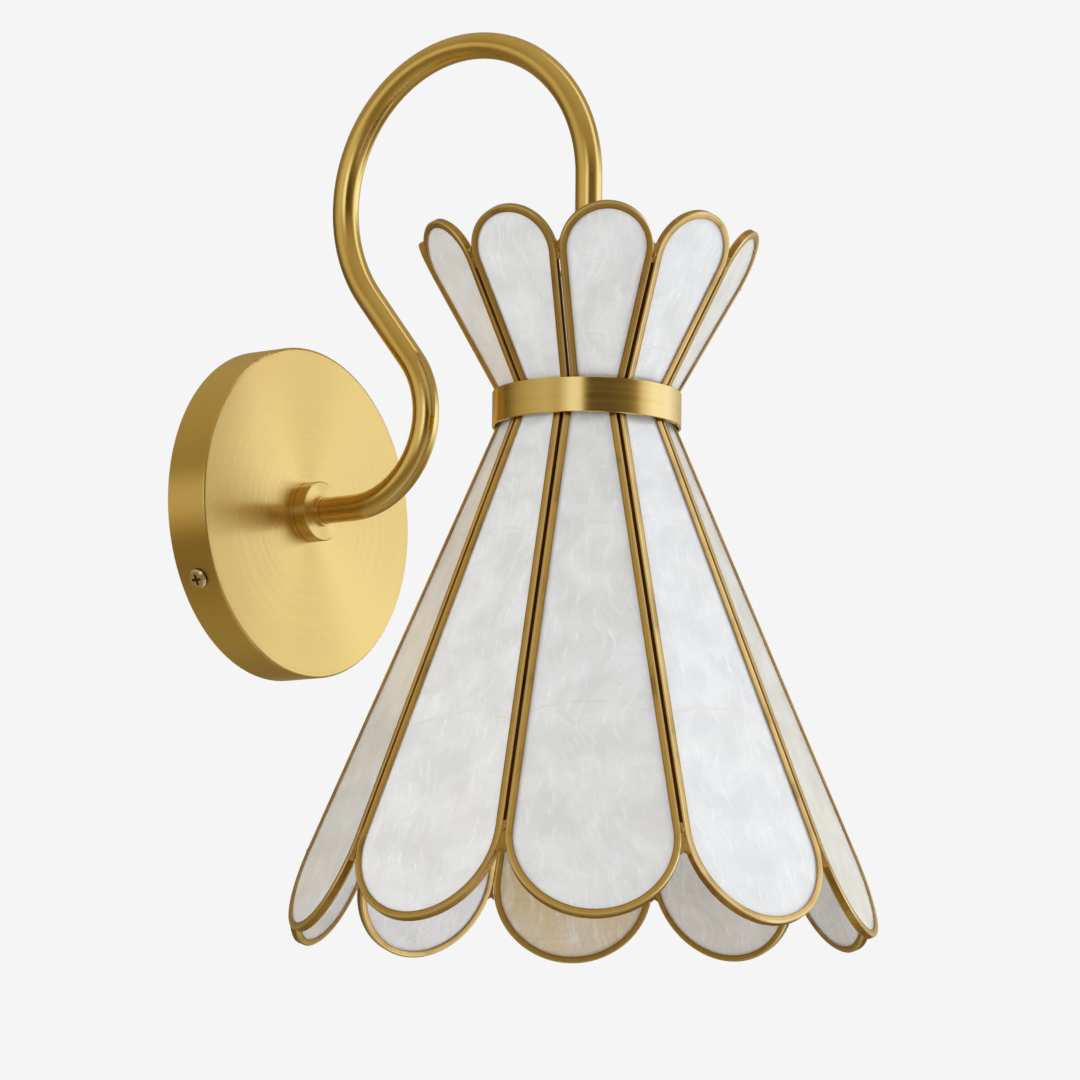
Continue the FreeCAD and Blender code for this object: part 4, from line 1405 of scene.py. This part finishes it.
@dataclass(frozen=True)
class BulbCap:
    """The bulb's rolled screw cap, its black glass insulator and its tip contact."""

    rim: float = 1.0 * MM
    shoulder: float = 3.0 * MM
    crest: float = 6.93 * MM
    depth: float = 0.35 * MM
    glass_height: float = 1.7 * MM
    tip_height: float = 1.25 * MM
    mouth: tuple[tuple[float, float], ...] = ((0.0, 0.965), (2.0 * MM, 1.0))
    top: tuple[tuple[float, float], ...] = (
        (0.5 * MM, 0.94),
        (0.3 * MM, 0.9),
        (1.1 * MM, 0.66),
        (0.2 * MM, 0.94),
        (0.1 * MM, 0.9),
        (0.8 * MM, 0.98),
        (0.35 * MM, 0.75),
        (0.12 * MM, 0.5),
    )

    def build(self, metal: bpy.types.Material, glass: bpy.types.Material) -> Finished:
        """Models the cap from the shell's thread up to the tip.

        Args:
            metal: The cap's finish.
            glass: The insulator's finish.

        Returns:
            The finished cap.
        """
        low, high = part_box("bulb_cap")
        shoulder = high.z - self.shoulder
        thread = ThreadedShell(
            name="bulb_cap_thread",
            crest=self.crest,
            depth=self.depth,
            low=low.z + self.rim,
            high=shoulder - self.rim,
        )
        cap = thread.roll()
        thread.even_rim(cap, thread.low, -self.rim, 0.985)
        thread.lips(*self.mouth)
        thread.even_rim(cap, thread.high, self.rim / 2, 1.0)
        thread.lips(*self.top)
        bpy.ops.mesh.edge_face_add()
        cap = thread.settle(cap)
        cap.data.materials.append(metal)
        cap.data.materials.append(glass)
        for face in cap.data.polygons:
            rise = face.center.z - shoulder
            if 0.0 < rise < self.glass_height and face.center.z < high.z - self.tip_height:
                face.material_index = 1
        return Finished(cap, BULB, "bulb_cap_metal", ("bulb_cap",))


@dataclass(frozen=True)
class HolderSleeve:
    """The lampholder's threaded brass sleeve that the bulb's cap screws into."""

    crest: float = 7.76 * MM
    depth: float = 0.36 * MM
    rim: float = 0.8 * MM

    def build(self, metal: bpy.types.Material) -> Finished:
        """Models the sleeve's thread and turns its mouth over into a plain outer wall.

        Args:
            metal: The sleeve's finish.

        Returns:
            The finished sleeve.
        """
        low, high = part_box("lampholder_sleeve")
        thread = ThreadedShell("holder_sleeve", self.crest, self.depth, low.z + self.rim, high.z)
        sleeve = thread.roll()
        thread.even_rim(sleeve, thread.low, -self.rim, 1.005)
        thread.lips((0.0, 1.03), (high.z - low.z, 1.0))
        sleeve = thread.settle(sleeve)
        sleeve.data.materials.append(metal)
        return Finished(sleeve, FIXTURE, "contact_brass", ("lampholder_sleeve",))


@dataclass(frozen=True)
class Fittings:
    """Everything but the petals: plate, neck, hub, hidden bracket, lampholder and bulb."""

    bar_turn: float = 30.0

    def dress(self) -> None:
        """Gives each node its finish, and builds the pieces that stand in for plain ones."""
        turn = math.radians(self.bar_turn)
        along_bar = Vector((math.cos(turn), 0, math.sin(turn)))
        solder = PlainMetal("brass_solder", srgb(232, 192, 116), srgb(186, 142, 74), 0.26).make()
        brass = PlainMetal("bright_contact", srgb(226, 192, 120), srgb(186, 150, 84), 0.25).make()
        cap = PlainMetal("rolled_cap", srgb(216, 217, 220), srgb(178, 180, 186), 0.28).make()
        insulator = Moulded("black_glass", srgb(34, 34, 38), srgb(20, 20, 24), 0.12).make()
        zinc = PlainMetal("zinc_plate", srgb(196, 198, 202), srgb(150, 152, 158)).make()
        green = Moulded("green_paint", srgb(40, 130, 70), srgb(24, 92, 48)).make()
        plastic = Moulded("white_plastic", srgb(236, 234, 228), srgb(226, 224, 217)).make()
        opal = Moulded("opal_bulb", srgb(248, 247, 242), srgb(242, 241, 235), 0.12, through=0.6).make()
        choice = (
            (self.plate_brass(), ("backplate", "hub_collar")),
            (self.ring_brass(), ("waist_ring",)),
            (SatinBrass("tube_brass").make(), ("swan_neck_tube",)),
            (ScrewBrass("screw_brass", along_bar).make(), ("cover_screws",)),
            (zinc, ("wall_bracket", "hub_nut", "hub_lock_washer", "shade_carrier", "shade_nut")),
            (green, ("ground_screw",)),
            (solder, ("solder_joints",)),
            (brass, ("lampholder_sleeve", "lampholder_contact")),
            (plastic, ("lampholder_cap", "lampholder_body")),
            (cap, ("bulb_cap",)),
            (opal, ("bulb_glass",)),
        )
        for material, nodes in choice:
            for node in nodes:
                dress(node, material)
        SolderSeams().build(solder).deliver()
        BulbCap().build(cap, insulator).deliver()
        HolderSleeve().build(brass).deliver()

    def plate_brass(self) -> bpy.types.Material:
        """Makes the plate's brass, brushed round the plate's centre.

        Returns:
            The material.
        """
        return TurnedBrass(
            name="plate_brass",
            centre=Vector((0, 0, 0)),
            axis=Y_AXIS,
            light=srgb(240, 208, 126),
            dark=srgb(224, 188, 104),
            roughness=0.32,
            anisotropy=0.9,
        ).make()

    def ring_brass(self) -> bpy.types.Material:
        """Makes the waist ring's brass, brushed round the shade's axis.

        Returns:
            The material.
        """
        return TurnedBrass(
            name="ring_brass",
            centre=SHADE_CENTRE,
            axis=Z_AXIS,
            rings=500,
            roughness=0.22,
            anisotropy=0.6,
        ).make()


@dataclass(frozen=True)
class SoftLamp:
    """A soft square lamp, which shows in no gloss."""

    name: str
    place: Vector
    size: tuple[float, float]
    power: float
    colour: Colour = (1.0, 1.0, 1.0)

    def hang(self, target: Vector) -> None:
        """Hangs the lamp so that it faces a point.

        Args:
            target: The point.
        """
        data = bpy.data.lights.new(self.name, "AREA")
        data.shape = "RECTANGLE"
        data.size, data.size_y = self.size
        data.energy = self.power
        data.color = self.colour
        lamp = bpy.data.objects.new(self.name, data)
        bpy.context.scene.collection.objects.link(lamp)
        lamp.location = self.place
        lamp.rotation_mode = "QUATERNION"
        lamp.rotation_quaternion = (self.place - target).to_track_quat("Z", "Y")
        lamp.visible_glossy = False


LAMPS = (
    SoftLamp("key_lamp", Vector((1.2, -1.7, 0.8)), (1.4, 1.4), 20),
    SoftLamp("top_lamp", Vector((-0.3, -0.5, 1.8)), (1.6, 1.6), 5.2),
    SoftLamp("fill_lamp", Vector((-1.9, 0.25, -0.1)), (1.2, 1.6), 20.5, (1.0, 0.98, 0.95)),
    SoftLamp("low_lamp", Vector((0.7, -1.7, -0.9)), (1.2, 1.2), 13.5),
)


@dataclass(frozen=True)
class Sky:
    """The world: plain pale where it is seen, and a studio of panels where gloss mirrors it.

    The panels' brightness follows the compass turn at the sides, and the height above and below. The
    tints are the shares of green and blue at each brightness, so that the dark side is warm.
    """

    backdrop: Colour = srgb(245, 245, 245)
    soft: Colour = (0.50, 0.50, 0.505)
    sides: Levels = compass(
        *((-180, 0.11), (-166, 0.18), (-150, 0.42), (-130, 0.6), (-106, 0.72), (-90, 0.62)),
        *((-81, 0.95), (-73, 1.2), (-63, 1.15), (-56, 0.2), (-51, 0.08), (-24, 0.1)),
        *((-3, 0.18), (7, 0.32), (16, 0.85), (34, 1.22), (60, 1.3), (76, 1.0)),
        *((94, 0.7), (120, 0.5), (160, 0.18), (180, 0.11)),
    )
    tall_panel: Levels = compass((-180, 1.0), (4, 1.0), (14, 0.0), (36, 0.0), (50, 1.0), (180, 1.0))
    ends: Levels = ((-1.0, 0.42), (-0.8, 0.34), (-0.6, 0.24), (0.0, 0.26), (0.6, 0.4), (1.0, 0.5))
    end_share: Levels = ((-1.0, 1.0), (-0.3, 1.0), (0.0, 0.0), (0.2, 0.0), (0.42, 1.0), (1.0, 1.0))
    tints: tuple[tuple[float, float, float], ...] = (
        (0.0, 0.75, 0.36),
        (0.12, 0.76, 0.38),
        (0.33, 0.82, 0.44),
        (0.6, 0.9, 0.6),
        (0.92, 1.02, 1.02),
        (1.3, 1.12, 1.45),
    )

    def build(self) -> None:
        """Makes the world and gives it to the scene."""
        world = bpy.data.worlds.new("studio")
        world.use_nodes = True
        bpy.context.scene.world = world
        sums = NodeSums(world.node_tree)
        path = sums.add("ShaderNodeLightPath").outputs
        seen = sums.math("MAXIMUM", path["Is Camera Ray"], path["Is Transmission Ray"])
        soft = self.glow(sums, self.soft)
        unseen = self.either(sums, path["Is Glossy Ray"], soft, self.glow(sums, self.panels(sums)))
        final = self.either(sums, seen, unseen, self.glow(sums, self.backdrop))
        sums.put(sums.add("ShaderNodeOutputWorld").inputs["Surface"], final)

    def glow(self, sums: NodeSums, colour: object) -> Socket:
        """Makes a background of one colour or of a colour socket.

        Args:
            sums: The world's tree.
            colour: The colour.

        Returns:
            The background's socket.
        """
        node = sums.add("ShaderNodeBackground")
        sums.put(node.inputs["Color"], colour)
        return node.outputs[0]

    def either(self, sums: NodeSums, choice: Socket, first: Socket, second: Socket) -> Socket:
        """Chooses between two backgrounds.

        Args:
            sums: The world's tree.
            choice: 0 for the first background, 1 for the second.
            first: The first background.
            second: The second background.

        Returns:
            The chosen background's socket.
        """
        node = sums.add("ShaderNodeMixShader")
        for socket, value in zip(node.inputs, (choice, first, second)):
            sums.put(socket, value)
        return node.outputs[0]

    def panels(self, sums: NodeSums) -> Socket:
        """Gives the studio's brightness and tint by compass turn and by height.

        Args:
            sums: The world's tree.

        Returns:
            The colour's socket.
        """
        x, y, z = sums.split(sums.add("ShaderNodeTexCoord").outputs["Generated"])
        turn = sums.math("ARCTAN2", x, sums.times(y, -1))
        end_share = sums.times(self.levels(sums, z, self.end_share), self.levels(sums, turn, self.tall_panel))
        sides = self.levels(sums, turn, self.sides)
        level = sums.blend(end_share, sides, self.levels(sums, z, self.ends))
        brightest = self.tints[-1][0]
        stops = [
            (height / brightest, (height, height * green, height * blue))
            for height, green, blue in self.tints
        ]
        return sums.ramp(sums.math("DIVIDE", level, brightest), stops)

    def levels(self, sums: NodeSums, value: Socket, steps: Levels) -> Socket:
        """Turns a number into grey by a row of places and levels.

        Args:
            sums: The world's tree.
            value: The number.
            steps: Pairs of a place in the number's own range and a grey level.

        Returns:
            The grey's socket.
        """
        low = steps[0][0]
        high = steps[-1][0]
        stretch = sums.add("ShaderNodeMapRange")
        sums.put(stretch.inputs["Value"], value)
        sums.put(stretch.inputs["From Min"], low)
        sums.put(stretch.inputs["From Max"], high)
        stops = [((place - low) / (high - low), (level, level, level)) for place, level in steps]
        return sums.ramp(stretch.outputs[0], stops)


@dataclass(frozen=True)
class Studio:
    """The pale floor, the sky, the soft lamps and the camera."""

    azimuth: float = -54.532
    elevation: float = -8.942
    roll: float = 0.613
    distance: float = 1.76289
    target: Vector = Vector((0, -0.11912, -0.01850))
    lens: float = 168.2
    sensor_width: float = 36
    view_depth: float = 20
    floor_level: float = -1.9
    floor_size: float = 20
    floor_lift: float = 0.38
    lamps: tuple[SoftLamp, ...] = LAMPS

    def build(self) -> None:
        """Builds the whole studio."""
        self.camera()
        for lamp in self.lamps:
            lamp.hang(self.target)
        Sky().build()
        self.floor()
        bpy.context.scene.view_settings.view_transform = "Standard"

    def camera(self) -> None:
        """Sets the camera where the photograph was taken from."""
        turn = math.radians(self.azimuth)
        rise = math.radians(self.elevation)
        roll = math.radians(self.roll)
        back = Vector((math.sin(turn) * math.cos(rise), -math.cos(turn) * math.cos(rise), math.sin(rise)))
        level = Vector((math.cos(turn), math.sin(turn), 0))
        upright = back.cross(level)
        right = level * math.cos(roll) + upright * math.sin(roll)
        up = upright * math.cos(roll) - level * math.sin(roll)
        data = bpy.data.cameras.new("camera")
        data.lens = self.lens
        data.sensor_fit = "HORIZONTAL"
        data.sensor_width = self.sensor_width
        data.clip_end = self.view_depth
        camera = bpy.data.objects.new("camera", data)
        bpy.context.scene.collection.objects.link(camera)
        turned = Matrix((right, up, back)).transposed().to_4x4()
        camera.matrix_world = Matrix.Translation(self.target + back * self.distance) @ turned
        bpy.context.scene.camera = camera

    def floor(self) -> None:
        """Lays the plain floor far under the light, lifted to the backdrop's paleness where it is seen."""
        bpy.ops.object.select_all(action="DESELECT")
        bpy.ops.mesh.primitive_plane_add(size=self.floor_size, location=(0, 0, self.floor_level))
        floor = bpy.context.object
        floor.name = "studio_floor"
        g = Graph("floor_paint")
        seen = g.add("ShaderNodeLightPath").outputs["Is Camera Ray"]
        g.shade(
            Base_Color=srgb(238, 238, 239),
            Roughness=0.9,
            Specular_IOR_Level=0.1,
            Emission_Color=(1.0, 1.0, 1.0),
            Emission_Strength=g.times(seen, self.floor_lift),
        )
        floor.data.materials.append(g.material)
        floor.visible_glossy = False


def main() -> None:
    """Dresses the sconce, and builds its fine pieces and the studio."""
    logging.basicConfig(level=logging.INFO, format="%(message)s")
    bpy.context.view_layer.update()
    Shade().dress()
    Fittings().dress()
    Studio().build()


if __name__ == "__main__":
    main()
